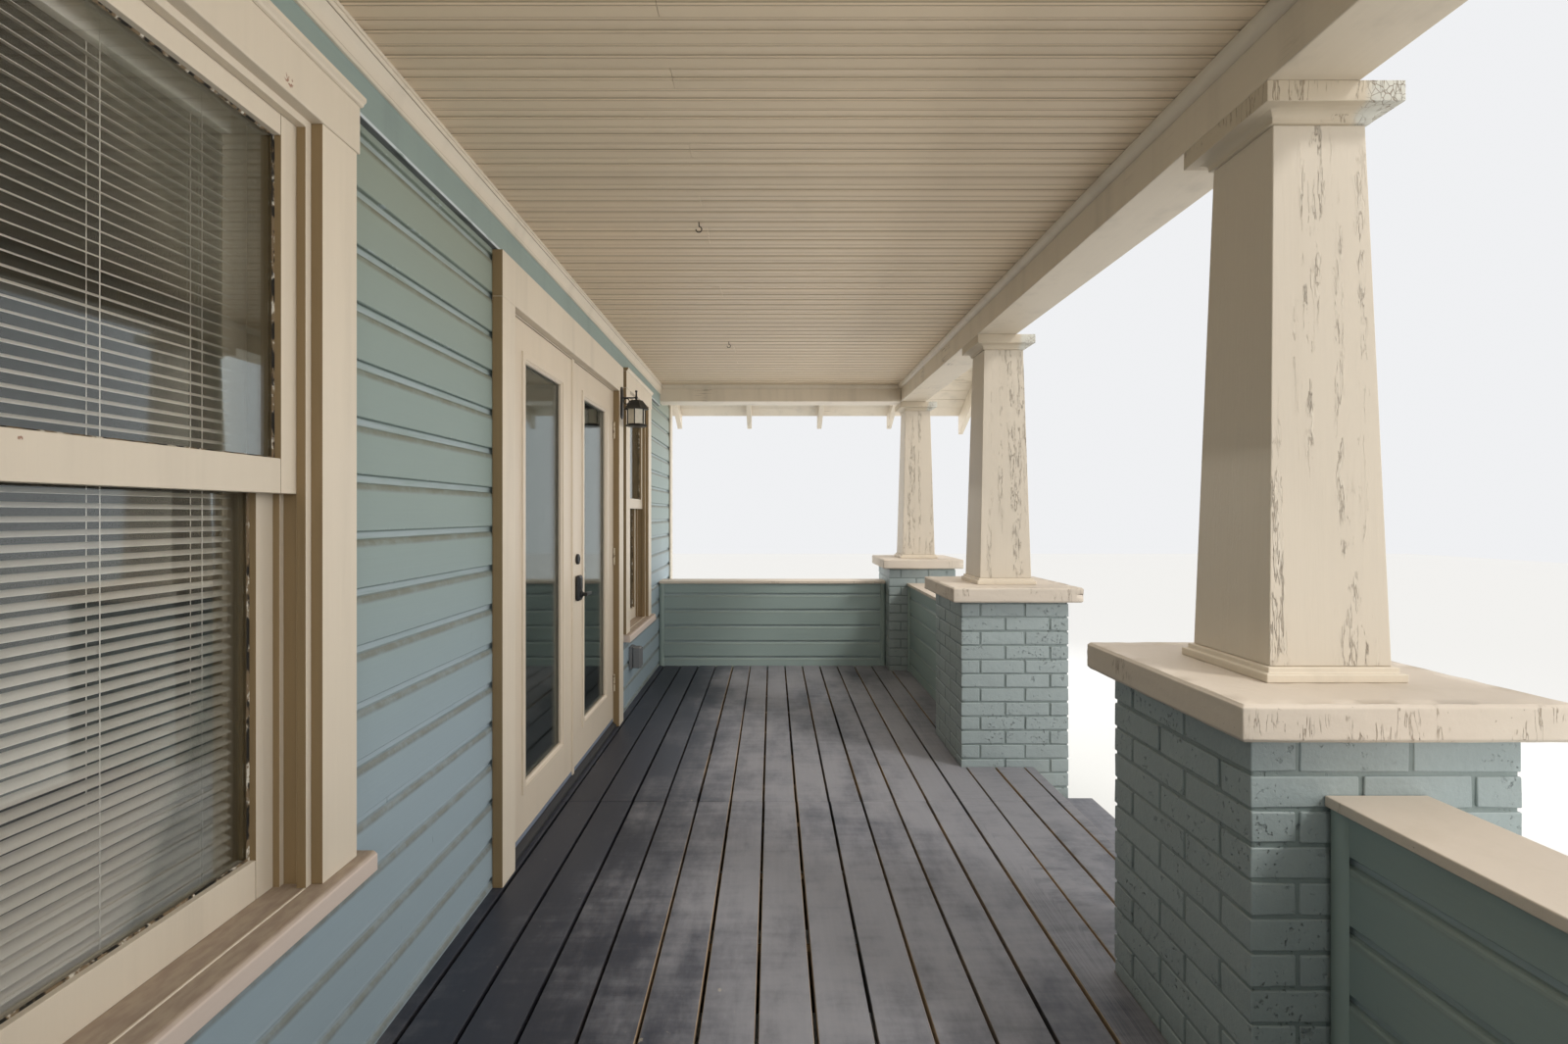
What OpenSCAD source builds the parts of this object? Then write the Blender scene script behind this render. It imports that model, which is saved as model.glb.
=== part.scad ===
// Covered front porch of a timber house, with the house wall behind it.
// Brick piers with tapered box columns carry a gable roof over a board deck.
// Units are millimetres. X runs along the house wall, -Y faces the street, Z is up.
// Inside this file the wall's siding face is y = 0 and the ground is z = 0.

/* [Porch plan] */
// Distance between the centres of the two corner piers
porch_w = 6300; // [5900:50:6600]
// Distance from the siding face to the centre line of the piers
porch_d = 2170; // [1900:10:2500]
// Distance between the centres of the two entry piers
entry_w = 2072; // [1800:4:2300]
// How far the house wall runs past the centres of the corner piers
wall_past = 590; // [450:10:700]
// Height of the deck above the ground
floor_h = 600; // [400:10:800]
// Distance from the pier centres to the deck's front edge in the entry
deck_nose = 100; // [40:5:140]

/* [House wall] */
// Thickness of the siding boards
siding_t = 20; // [16:1:26]
// Thickness of the timber wall behind the siding
wall_t = 130; // [100:5:180]
// Width of the corner boards
corner_w = 115; // [80:5:140]
// How far the corner boards stand out from the siding
corner_t = 14; // [8:1:20]
// Height of the frieze board under the ceiling
frieze_h = 175; // [140:5:200]
// Thickness of the frieze board
frieze_t = 18; // [12:1:25]
// Height of the crown moulding
crown_h = 75; // [50:5:100]
// How far the crown moulding stands out from the frieze
crown_t = 24; // [15:1:60]

/* [Doors] */
// Middle of the double door, measured from the middle of the porch
door_x = 590; // [500:5:600]
// Clear width between the door jambs
door_w = 1630; // [1500:5:1640]
// Height of the leaves' top above the deck
door_h = 2000; // [1950:5:2060]
// Thickness of a leaf
leaf_t = 45; // [35:1:50]
// Clearance between a leaf and its frame
leaf_gap = 5; // [5:1:7]
// Clearance between the two closed leaves
meeting_gap = 9; // [9:1:12]
// Width of the glass in a leaf
lite_w = 470; // [400:5:520]
// Height of the glass in a leaf
lite_h = 1630; // [1500:2:1680]
// Height of the glass's lower edge above the deck
lite_low = 230; // [200:5:260]
// Width of the raised bead round the glass
lite_bead = 27; // [18:1:35]
// Height of the threshold
threshold_h = 30; // [20:1:40]
// Thickness of the door jambs
jamb_t = 30; // [20:1:40]
// Depth of the stop that a closed leaf shuts against
stop_t = 12; // [8:1:16]
// Distance from the leaf's outer face to the hinge pins
pin_out = 7; // [7:1:10]

/* [Windows] */
// Width between the window casings
window_w = 650; // [560:5:680]
// Siding between the door casing and the far window's casing
far_window_gap = 82; // [70:1:110]
// Siding between the door casing and the near window's casing
near_window_gap = 810; // [700:1:900]
// Height of the sill's top above the deck
sill_h = 515; // [450:5:600]
// Thickness of the sill
sill_t = 45; // [35:1:55]
// How far the sill runs past the casing at each side
sill_horn = 28; // [15:1:35]
// Height of the meeting rail's top above the deck
meeting_h = 1376; // [1200:4:1450]
// Thickness of a sash
sash_t = 36; // [30:1:45]
// Width of the sash stiles
stile_w = 56; // [40:1:60]
// Height of the lower sash's bottom rail
bottom_rail = 78; // [60:1:95]
// Distance from the siding face to the upper sash
sash_set = 8; // [5:1:30]
// Width of the blind stops that hold the upper sash in
blind_stop_w = 16; // [8:1:20]
// How far the blind stops stand out in front of the siding face
stop_out = 13; // [0:1:20]
// Distance between the upper and the lower sash, kept by the parting stops
parting_t = 13; // [8:1:16]
// How far the blinds' ends stay inside the window opening
blind_inset = 66; // [6:1:80]
// How far the windows rise above the tops of the doors
window_rise = 62; // [0:1:80]

/* [Casings] */
// Width of the casing boards beside doors and windows
casing_w = 115; // [90:1:118]
// How far the casings stand out from the siding
casing_t = 36; // [25:1:45]
// Height of the door's head casing above the door; the windows' ends level with it
head_h = 167; // [110:1:172]
// How far a window's head casing stands past its side casings
head_past = 7; // [0:1:10]
// Bare edge of the jamb beside the door casing
reveal = 8; // [6:1:12]

/* [Piers and columns] */
// Width of the square brick piers
pier_w = 540; // [460:10:600]
// Height of the brickwork above the deck
pier_h = 830; // [760:5:950]
// Width of the square pier caps
cap_w = 644; // [620:4:700]
// Thickness of the pier caps
cap_t = 73; // [50:1:90]
// Height from the pier cap to the underside of the beam
column_h = 1303; // [1100:10:1500]
// Width of a column at its foot
foot_w = 268; // [240:2:280]
// Width of a column at its top
top_w = 206; // [180:2:230]
// Width of the base moulding
base_w = 307; // [290:1:340]
// Height of the base moulding
base_h = 32; // [24:1:50]
// Width of the capital block
capital_w = 300; // [280:2:340]
// Height of the capital block
capital_h = 45; // [30:1:60]
// Height of the cove under the capital block
cove_h = 26; // [20:1:60]

/* [Knee walls] */
// Height of the knee wall's top above the deck
knee_h = 710; // [600:5:740]
// Thickness of the knee walls
knee_t = 176; // [140:2:200]
// How far the front knee walls stand nearer to the house than the piers' middle
knee_shift = 22; // [0:1:40]
// Width of the knee wall caps
knee_cap_w = 205; // [190:1:240]
// Thickness of the knee wall caps
knee_cap_t = 22; // [18:1:35]
// Width of the trim strips at the ends of a knee wall
knee_trim_w = 42; // [30:1:60]
// How far the rounded trim strips stand out
knee_trim_t = 12; // [8:1:14]

/* [Deck and steps] */
// Thickness of the deck boards
deck_t = 35; // [25:1:45]
// Depth of the joists
joist_h = 184; // [140:2:235]
// Thickness of the joists
joist_t = 38; // [35:1:50]
// Largest distance between joists
joist_pitch = 420; // [350:10:600]
// Largest height of one step
riser_h = 150; // [140:5:190]
// Depth of a tread
tread_d = 280; // [240:5:320]
// Thickness of a tread
tread_t = 40; // [30:1:50]
// Gap between the steps and the piers at each side
step_side = 16; // [8:1:40]
// Thickness of a stringer
stringer_t = 40; // [35:1:60]

/* [Beams and ceiling] */
// Width of the beams
beam_w = 204; // [160:2:240]
// Height of the front beam
front_beam_h = 204; // [180:2:240]
// Height of the end beams
end_beam_h = 456; // [400:2:500]
// Height of the ceiling above the beams' underside
ceiling_up = 136; // [100:2:150]
// Thickness of the ceiling boards
ceiling_t = 15; // [10:1:20]
// Size of the quarter round under the ceiling along the beams
bed_r = 30; // [20:1:40]

/* [Roof] */
// Rise of the roof for each unit of run
roof_pitch = 0.5; // [0.4:0.01:0.6]
// Depth of a rafter, square to its slope
rafter_h = 110; // [90:2:140]
// Thickness of the rafters
rafter_t = 45; // [38:1:60]
// Number of rafter pairs from the wall to the gable
rafter_pairs = 4; // [3:1:6]
// Height of the cut where a rafter sits on an end beam
seat_h = 42; // [20:1:50]
// How far the eaves reach past the end beams
eave_out = 986; // [700:2:1100]
// How far the roof reaches past the gable wall
rake_out = 720; // [400:10:900]
// Depth of the barge boards, square to their slope
barge_h = 160; // [120:2:200]
// Thickness of the ridge board
ridge_t = 38; // [30:1:50]
// Thickness of the roof boards, plumb
roof_board_t = 22; // [18:1:30]
// Thickness of the shingles, plumb
shingle_t = 12; // [8:1:20]
// How far the shingles run past the roof boards
drip = 15; // [8:1:30]
// Width of the ridge cap on each side
ridge_cap_w = 130; // [90:5:180]
// Thickness of the ridge cap
ridge_cap_t = 8; // [5:1:15]
// Thickness of the gable wall
gable_t = 96; // [80:1:110]

/* [Fittings] */
// Width of the six-sided lantern's glass body, across its flats
lantern_w = 101; // [90:1:112]
// Height of the lantern's glass body
lantern_h = 90; // [75:1:120]
// Width of the lantern's roof across its flats
lantern_roof_w = 132; // [122:1:140]
// Height of the lantern's roof
lantern_roof_h = 54; // [45:1:70]
// Height of the lantern's lower edge above the deck
lantern_low = 1798; // [1700:1:1820]
// Distance from the casing to the middle of the lantern
lantern_out = 90; // [80:1:100]
// Height of the door lock's middle above the deck
lock_h = 910; // [850:5:1000]
// Height of the dead lock's middle above the deck
dead_lock_h = 1050; // [1030:5:1150]
// Middle of the outlet cover, measured from the middle of the porch
outlet_x = 1900; // [1820:5:2200]
// Height of the outlet cover's lower edge above the deck
outlet_low = 240; // [100:5:260]

/* [Hidden] */

$fn = 48;
// Overshoot of every cutting body
cut = 1;

// Plan
corner_x = porch_w / 2;
entry_x = entry_w / 2;
pier_xs = [-corner_x, -entry_x, entry_x, corner_x];
house_x = corner_x + wall_past;
wall_back = siding_t + wall_t;
pier_in = -porch_d + pier_w / 2;
knee_y = -porch_d + knee_shift;
knee_in_y = knee_y + knee_t / 2;
knee_in_x = corner_x - knee_t / 2;
deck_front = -porch_d - deck_nose;
entry_side = entry_x - pier_w / 2;

// Heights
pier_top = floor_h + pier_h;
cap_top = pier_top + cap_t;
beam_z = cap_top + column_h;
ceiling_z = beam_z + ceiling_up;
front_beam_top = beam_z + front_beam_h;
end_beam_top = beam_z + end_beam_h;
knee_top = floor_h + knee_h;

// Beams: their inner faces line up with the inner edges of the capitals
beam_in_y = -porch_d + capital_w / 2;
beam_in_x = corner_x - capital_w / 2;
beam_out_x = beam_in_x + beam_w;
beam_out_y = beam_in_y - beam_w;

// Roof planes: roof_z is the underside of the roof boards
slope_len = sqrt(1 + roof_pitch * roof_pitch);
rafter_plumb = rafter_h * slope_len;
eave_x = beam_out_x + eave_out;
function roof_z(x) = end_beam_top - seat_h + rafter_plumb + roof_pitch * (beam_out_x - abs(x));
gable_y = beam_in_y - beam_w / 2;
barge_y = gable_y - rake_out;
roof_front = barge_y - rafter_t / 2 - 25;
roof_gap = 10;

// Doors
door_lo = door_x - door_w / 2;
door_hi = door_x + door_w / 2;
leaf_w = (door_w - 2 * leaf_gap - meeting_gap) / 2;
leaf_low = floor_h + threshold_h + leaf_gap;
leaf_top = floor_h + door_h;
frame_top = leaf_top + leaf_gap;
head_top = leaf_top + head_h;
rough_lo = door_lo - jamb_t;
rough_hi = door_hi + jamb_t;
rough_top = frame_top + jamb_t;
hinge_r = 6;
hinge_len = 100;
hinge_end = 230;
hinge_zs = [leaf_low + hinge_end, (leaf_low + leaf_top) / 2, leaf_top - hinge_end];
pane_t = 20;
bead_t = 8;

// Windows
frame_t = 25;
window_side = window_w / 2 + casing_w;
window_xs = [door_lo - reveal - casing_w - near_window_gap - window_side,
             door_hi + reveal + casing_w + far_window_gap + window_side];
window_top = leaf_top + window_rise;
sill_top = floor_h + sill_h;

// Steps
riser_n = ceil(floor_h / riser_h);
step_rise = floor_h / riser_n;
step_x = entry_side - step_side;
step_front = deck_front - (riser_n - 1) * tread_d;

// The origin is the middle of the whole part's footprint, on the ground
part_front = min(step_front, roof_front - drip);
frame_y = -(part_front + wall_back) / 2;

// Helpers
module block(lo, hi) {
    translate(lo) cube(hi - lo);
}

// Extrudes an outline of [y, z] points from x0 to x1
module along_x(x0, x1, outline) {
    translate([x0, 0, 0])
        rotate([90, 0, 90])
            linear_extrude(x1 - x0)
                polygon(outline);
}

// Extrudes an outline of [x, z] points from y0 to y1
module along_y(y0, y1, outline) {
    translate([0, y1, 0])
        rotate([90, 0, 0])
            linear_extrude(y1 - y0)
                polygon(outline);
}

// A square turning of a half outline of [half width, z] points, bottom to top
module square_moulding(half) {
    n = len(half);
    outline = concat(half, [for (i = [n - 1:-1:0]) [-half[i][0], half[i][1]]]);
    reach = max([for (p = half) p[0]]) + cut;
    intersection() {
        along_x(-reach, reach, outline);
        along_y(-reach, reach, outline);
    }
}

module both_sides() {
    children();
    mirror([1, 0, 0]) children();
}

module at_piers() {
    for (x = pier_xs)
        translate([x, -porch_d, 0]) children();
}

module at_windows() {
    for (x = window_xs)
        translate([x, 0, 0]) children();
}

module in_frame() {
    translate([0, frame_y, 0]) children();
}

// Points of an arc about [cx, cz] from angle a0 to a1
function arc(cx, cz, r, a0, a1, n = 6) =
    [for (i = [0:n]) [cx + r * cos(a0 + (a1 - a0) * i / n), cz + r * sin(a0 + (a1 - a0) * i / n)]];

// House wall
module house_foundation() {
    color("slategray")
        block([-house_x, siding_t, 0], [house_x, wall_back, floor_h]);
}

module window_hole(y0, y1, grow = 0) {
    block([-window_w / 2 - grow, y0, sill_top - sill_t],
          [window_w / 2 + grow, y1, window_top + grow]);
}

module wall_slab(x0, x1) {
    difference() {
        block([x0, siding_t, floor_h], [x1, wall_back, ceiling_z]);
        at_windows() window_hole(siding_t - cut, wall_back + cut, frame_t);
    }
}

module wall_near() {
    color("rosybrown") wall_slab(-house_x, rough_lo);
}

module wall_far() {
    color("rosybrown") wall_slab(rough_hi, house_x);
}

module wall_over_door() {
    color("rosybrown")
        block([rough_lo, siding_t, rough_top], [rough_hi, wall_back, ceiling_z]);
}

module wall_attic() {
    color("rosybrown")
        along_y(siding_t, wall_back,
                [[-house_x, ceiling_z], [house_x, ceiling_z], [house_x, roof_z(house_x)],
                 [0, roof_z(0)], [-house_x, roof_z(house_x)]]);
}

module house_siding() {
    color("cadetblue")
        difference() {
            along_y(0, siding_t,
                    [[-house_x, floor_h], [house_x, floor_h], [house_x, roof_z(house_x)],
                     [0, roof_z(0)], [-house_x, roof_z(house_x)]]);
            at_windows() window_hole(-cut, siding_t + cut, frame_t);
            block([rough_lo, -cut, floor_h - cut], [rough_hi, siding_t + cut, rough_top]);
        }
}

module frieze_board() {
    color("cadetblue")
        block([-beam_in_x, -frieze_t, ceiling_z - frieze_h], [beam_in_x, 0, ceiling_z]);
}

// Crown: a fillet, a cove, a bead and a second fillet against the frieze
module crown_moulding() {
    face = -frieze_t;
    lip = crown_h * 0.14;
    r = crown_h - 2 * lip;
    color("wheat")
        along_x(-beam_in_x, beam_in_x,
                concat([[face, ceiling_z], [face, ceiling_z - crown_h],
                        [face - lip, ceiling_z - crown_h], [face - lip, ceiling_z - crown_h + lip]],
                       [for (i = [1:5])
                            [face - lip - (crown_t - lip) * (1 - cos(90 * i / 6)),
                             ceiling_z - crown_h + lip + r * sin(90 * i / 6)]],
                       [[face - crown_t, ceiling_z - lip], [face - crown_t, ceiling_z]]));
}

module corner_boards() {
    color("wheat")
        both_sides()
            along_y(-corner_t, 0,
                    [[house_x - corner_w, floor_h], [house_x, floor_h],
                     [house_x, roof_z(house_x) - rafter_plumb],
                     [house_x - corner_w, roof_z(house_x - corner_w) - rafter_plumb]]);
}

// Windows
module window_casings() {
    cap_h = 20;
    cap_out = 15;
    cap_end = 10;
    head = window_side + head_past;
    color("wheat")
        at_windows() {
            difference() {
                block([-window_side, -casing_t, sill_top], [window_side, 0, window_top + cut]);
                block([-window_w / 2, -casing_t - cut, sill_top - cut],
                      [window_w / 2, cut, window_top + 2 * cut]);
            }
            block([-head, -casing_t, window_top], [head, 0, head_top]);
            block([-window_side - cap_end, -casing_t - cap_out, head_top],
                  [window_side + cap_end, -frieze_t, head_top + cap_h]);
        }
}

module window_sills() {
    side = window_side + sill_horn;
    inner = window_w / 2 + frame_t;
    nose = 30;
    slope = 8;
    color("wheat")
        at_windows() {
            along_x(-side, side,
                    [[0, sill_top - sill_t], [0, sill_top], [-casing_t - nose + slope, sill_top],
                     [-casing_t - nose, sill_top - slope], [-casing_t - nose, sill_top - sill_t]]);
            block([-inner, 0, sill_top - sill_t], [inner, wall_back, sill_top]);
        }
}

// Jambs and head, with a blind stop in front of the upper sash
module window_frames() {
    stop_half = window_w / 2 - blind_stop_w;
    stop_gap = 1;
    color("tan")
        at_windows()
            difference() {
                union() {
                    block([-window_w / 2 - frame_t, 0, sill_top],
                          [window_w / 2 + frame_t, wall_back, window_top + frame_t]);
                    block([-window_w / 2, -stop_out, sill_top], [window_w / 2, cut, window_top]);
                }
                block([-window_w / 2, sash_set - stop_gap, sill_top - cut],
                      [window_w / 2, wall_back + cut, window_top]);
                block([-stop_half, -stop_out - cut, sill_top - cut],
                      [stop_half, sash_set, window_top - blind_stop_w]);
            }
}

module sash(y0, z0, z1, low_rail, high_rail) {
    difference() {
        block([-window_w / 2, y0, z0], [window_w / 2, y0 + sash_t, z1]);
        block([-window_w / 2 + stile_w, y0 - cut, z0 + low_rail],
              [window_w / 2 - stile_w, y0 + sash_t + cut, z1 - high_rail]);
    }
}

upper_rail = 68;
lower_rail = 45;
upper_low = floor_h + meeting_h - upper_rail;
inner_sash_y = sash_set + sash_t + parting_t;
module upper_sashes() {
    color("wheat")
        at_windows() sash(sash_set, upper_low, window_top, upper_rail, stile_w);
}

module lower_sashes() {
    color("wheat")
        at_windows() sash(inner_sash_y, sill_top, floor_h + meeting_h, bottom_rail, lower_rail);
}

window_pane_t = 4;
module window_pane(y0, z0, z1) {
    mid = y0 + sash_t / 2;
    block([-window_w / 2 + stile_w, mid - window_pane_t / 2, z0],
          [window_w / 2 - stile_w, mid + window_pane_t / 2, z1]);
}

module window_panes() {
    color("lightblue", 0.5)
        at_windows() {
            window_pane(sash_set, upper_low + upper_rail, window_top - stile_w);
            window_pane(inner_sash_y, sill_top + bottom_rail, floor_h + meeting_h - lower_rail);
        }
}

module window_blinds() {
    blind_t = 20;
    blind_gap = 6;
    blind_half = window_w / 2 - blind_inset;
    blind_y = inner_sash_y + sash_t + 4;
    color("whitesmoke")
        at_windows()
            block([-blind_half, blind_y, sill_top + blind_gap],
                  [blind_half, blind_y + blind_t, window_top]);
}

// Doors
module door_casing() {
    lo = door_lo - reveal;
    hi = door_hi + reveal;
    color("wheat")
        difference() {
            block([lo - casing_w, -casing_t, floor_h], [hi + casing_w, 0, head_top]);
            block([lo, -casing_t - cut, floor_h - cut], [hi, cut, leaf_top + reveal]);
        }
}

// Jambs and head with the stops that the leaves close against
module door_frame() {
    color("wheat")
        difference() {
            block([rough_lo, 0, floor_h + threshold_h], [rough_hi, wall_back, rough_top]);
            block([door_lo, -cut, floor_h], [door_hi, leaf_t + leaf_gap, frame_top]);
            block([door_lo + stop_t, 0, floor_h], [door_hi - stop_t, wall_back + cut, frame_top - stop_t]);
        }
}

module door_threshold() {
    nose = 20;
    color("dimgray")
        along_x(rough_lo, rough_hi,
                [[0, floor_h], [wall_back, floor_h], [wall_back, floor_h + threshold_h],
                 [0, floor_h + threshold_h]]);
    color("dimgray")
        along_x(door_lo, door_hi,
                [[-nose, floor_h], [0, floor_h], [0, floor_h + threshold_h],
                 [-nose, floor_h + threshold_h / 2]]);
}

// One hinge barrel on its pin, with the web that joins it to the jamb
module hinge(z) {
    translate([0, -pin_out, z - hinge_len / 2]) cylinder(r = hinge_r, h = hinge_len);
    block([-hinge_r - 3, -pin_out, z - hinge_len / 2], [-0.5, 0, z + hinge_len / 2]);
}

module door_hinges() {
    color("darkgray") {
        for (z = hinge_zs) {
            translate([door_lo + leaf_gap / 2, 0, 0]) hinge(z);
            translate([door_hi - leaf_gap / 2, 0, 0]) mirror([1, 0, 0]) hinge(z);
        }
    }
}

lite_side = (leaf_w - lite_w) / 2;
lite_z = floor_h + lite_low;
module lite_ring(grow, y0, y1) {
    difference() {
        block([lite_side - grow, y0, lite_z - grow],
              [lite_side + lite_w + grow, y1, lite_z + lite_h + grow]);
        block([lite_side, y0 - cut, lite_z], [lite_side + lite_w, y1 + cut, lite_z + lite_h]);
    }
}

// A leaf with its hinge side at x = 0 and its outer face at y = 0
module door_leaf() {
    difference() {
        block([0, 0, leaf_low], [leaf_w, leaf_t, leaf_top]);
        block([lite_side, -cut, lite_z], [lite_side + lite_w, leaf_t + cut, lite_z + lite_h]);
    }
    lite_ring(lite_bead, -bead_t, 0);
    lite_ring(lite_bead, leaf_t, leaf_t + bead_t);
}

module leaf_pane() {
    block([lite_side, (leaf_t - pane_t) / 2, lite_z],
          [lite_side + lite_w, (leaf_t + pane_t) / 2, lite_z + lite_h]);
}

module near_leaf_place() {
    translate([door_lo + leaf_gap, 0, 0]) children();
}

module far_leaf_place() {
    translate([door_hi - leaf_gap, 0, 0]) mirror([1, 0, 0]) children();
}

module near_door_leaf() {
    astragal_w = 25;
    color("wheat")
        near_leaf_place() {
            door_leaf();
            block([leaf_w - astragal_w, -bead_t, leaf_low], [leaf_w, 0, leaf_top]);
        }
}

module near_door_pane() {
    color("lightblue", 0.5) near_leaf_place() leaf_pane();
}

module far_door_leaf() {
    color("wheat") far_leaf_place() door_leaf();
}

module far_door_pane() {
    color("lightblue", 0.5) far_leaf_place() leaf_pane();
}

// Lever lock and dead lock on the far leaf's meeting stile, both sides
module door_lock() {
    backset = 60;
    plate_w = 62;
    plate_h = 124;
    plate_t = 22;
    lever_r = 8;
    lever_reach = 46;
    lever_len = 105;
    rose_r = 25;
    rose_t = 12;
    x = leaf_w - backset;
    z = floor_h + lock_h;
    color("black")
        far_leaf_place() {
            for (side = [0, 1])
                translate([x, side * leaf_t, 0])
                    mirror([0, side, 0]) {
                        block([-plate_w / 2, -plate_t, z - plate_h / 2], [plate_w / 2, 0, z + plate_h / 2]);
                        translate([0, -plate_t, z - 30])
                            rotate([90, 0, 0]) cylinder(r = lever_r, h = lever_reach - plate_t);
                        translate([lever_r, -lever_reach, z - 30])
                            rotate([0, -90, 0]) cylinder(r = lever_r, h = lever_len);
                        translate([0, 0, floor_h + dead_lock_h])
                            rotate([90, 0, 0]) cylinder(r = rose_r, h = rose_t);
                    }
        }
}

// Wall lantern: six-sided, with flats towards the wall
lantern_x = door_hi + reveal + casing_w / 2;
lantern_y = -casing_t - lantern_out;
lantern_z = floor_h + lantern_low;
lantern_base_h = 15;
glass_low = lantern_z + lantern_base_h;
glass_top = glass_low + lantern_h;
arm_z = glass_top + lantern_roof_h + 17;

// A six-sided turning of a half outline of [half width across flats, z] points, bottom to top
module hex_moulding(half) {
    n = len(half);
    outline = concat(half, [for (i = [n - 1:-1:0]) [-half[i][0], half[i][1]]]);
    reach = 2 * max([for (p = half) p[0]]);
    intersection() {
        along_x(-reach, reach, outline);
        rotate(60) along_x(-reach, reach, outline);
        rotate(120) along_x(-reach, reach, outline);
    }
}

module lantern_plate() {
    half = 30;
    clip = 18;
    top = arm_z + 65;
    low = top - 194;
    along_y(-casing_t - 10, -casing_t,
            [[-half, low + clip], [-half + clip, low], [half - clip, low], [half, low + clip],
             [half, top - clip], [half - clip, top], [-half + clip, top], [-half, top - clip]]);
}

module lantern_frame() {
    bar = 6.5;
    arm_r = 4.2;
    stem_r = 5.5;
    finial_r = 7.5;
    finial_top = arm_z + 46;
    half = lantern_w / 2;
    brim = lantern_roof_w / 2;
    corner = half / cos(30) - bar / 2;
    roof_top = glass_top + lantern_roof_h;
    color("black") {
        translate([lantern_x, 0, 0]) lantern_plate();
        translate([lantern_x, -casing_t, arm_z])
            rotate([90, 0, 0]) cylinder(r = arm_r, h = lantern_out);
        translate([lantern_x, lantern_y, 0]) {
            hex_moulding([[half + 3, lantern_z], [half + 6, lantern_z + 4], [half + 6, lantern_z + 9],
                          [half + 1.5, glass_low]]);
            for (turn = [0:60:300])
                rotate(turn)
                    translate([corner - bar / 2, -bar / 2, glass_low - cut])
                        cube([bar, bar, lantern_h + 2 * cut]);
            hex_moulding([[brim - 2, glass_top], [brim, glass_top + 3], [brim - 2, glass_top + 6],
                          [brim * 0.8, glass_top + lantern_roof_h * 0.35],
                          [brim * 0.73, glass_top + lantern_roof_h * 0.55],
                          [brim * 0.54, roof_top - 4], [brim * 0.48, roof_top]]);
            translate([0, 0, roof_top - cut]) cylinder(r = stem_r, h = finial_top - roof_top + cut);
            translate([0, 0, finial_top - 2 * finial_r]) cylinder(r = finial_r, h = 2 * finial_r);
        }
    }
}

module lantern_panes() {
    pane = 2;
    glass_y = lantern_w / 2 - 5;
    span = (glass_y - pane) * tan(30) - 0.6;
    color("ivory", 0.7)
        translate([lantern_x, lantern_y, 0])
            for (turn = [0:60:300])
                rotate(turn)
                    block([-span, glass_y - pane, glass_low], [span, glass_y, glass_top]);
}

// Weatherproof outlet cover with its ribbed lid
module outlet_cover() {
    w = 92;
    h = 150;
    d = 78;
    rib = 4;
    z0 = floor_h + outlet_low;
    color("gray")
        translate([outlet_x, 0, z0]) {
            block([-w / 2, -20, 0], [w / 2, 0, h]);
            block([-w / 2 + 6, -d + rib, 6], [w / 2 - 6, -20, h - 6]);
            for (i = [0:4])
                translate([-w / 2 + 14 + i * (w - 32) / 4, -d, 12]) cube([rib, rib, h - 24]);
        }
}

// Deck
module deck_outline() {
    difference() {
        union() {
            translate([-knee_in_x, knee_in_y]) square([2 * knee_in_x, siding_t - knee_in_y]);
            translate([-entry_side, deck_front]) square([2 * entry_side, siding_t - deck_front]);
        }
        for (x = pier_xs)
            translate([x - pier_w / 2, -porch_d - pier_w / 2]) square(pier_w);
    }
}

module deck_boards() {
    color("dimgray")
        translate([0, 0, floor_h - deck_t]) linear_extrude(deck_t) deck_outline();
}

// Ledger on the foundation, rims behind the knee walls and the rim in the entry
module rim_strips() {
    bay = entry_x + pier_w / 2;
    translate([-knee_in_x, siding_t - joist_t]) square([2 * knee_in_x, joist_t]);
    translate([-entry_side, deck_front]) square([2 * entry_side, joist_t]);
    for (x = [bay, pier_w / 2 - corner_x])
        translate([x, knee_in_y]) square([corner_x - pier_w / 2 - bay, joist_t]);
}

module deck_rims() {
    color("sienna")
        translate([0, 0, floor_h - deck_t - joist_h])
            linear_extrude(joist_h) rim_strips();
}

module deck_joists() {
    n = ceil(2 * knee_in_x / joist_pitch);
    pitch = (2 * knee_in_x - joist_t) / n;
    color("sienna")
        translate([0, 0, floor_h - deck_t - joist_h])
            linear_extrude(joist_h)
                difference() {
                    intersection() {
                        deck_outline();
                        for (i = [0:n])
                            translate([-knee_in_x + i * pitch, deck_front])
                                square([joist_t, siding_t - deck_front]);
                    }
                    rim_strips();
                }
}

module entry_treads() {
    color("dimgray")
        for (i = [1:riser_n - 1])
            block([-step_x, deck_front - i * tread_d, floor_h - i * step_rise - tread_t],
                  [step_x, deck_front - (i - 1) * tread_d, floor_h - i * step_rise]);
}

module step_stringers() {
    outline = concat([[deck_front, 0]],
                     [for (i = [1:riser_n - 1])
                          each [[deck_front - (i - 1) * tread_d, floor_h - i * step_rise - tread_t],
                                [deck_front - i * tread_d, floor_h - i * step_rise - tread_t]]],
                     [[step_front, 0]]);
    color("sienna")
        for (x = [-step_x, -stringer_t / 2, step_x - stringer_t])
            along_x(x, x + stringer_t, outline);
}

// Piers and columns
module brick_piers() {
    color("darkseagreen")
        at_piers()
            block([-pier_w / 2, -pier_w / 2, 0], [pier_w / 2, pier_w / 2, pier_top]);
}

module pier_caps() {
    edge = 6;
    color("wheat")
        at_piers()
            square_moulding([[cap_w / 2 - edge, pier_top], [cap_w / 2, pier_top + edge],
                             [cap_w / 2, cap_top - edge], [cap_w / 2 - edge, cap_top]]);
}

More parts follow.
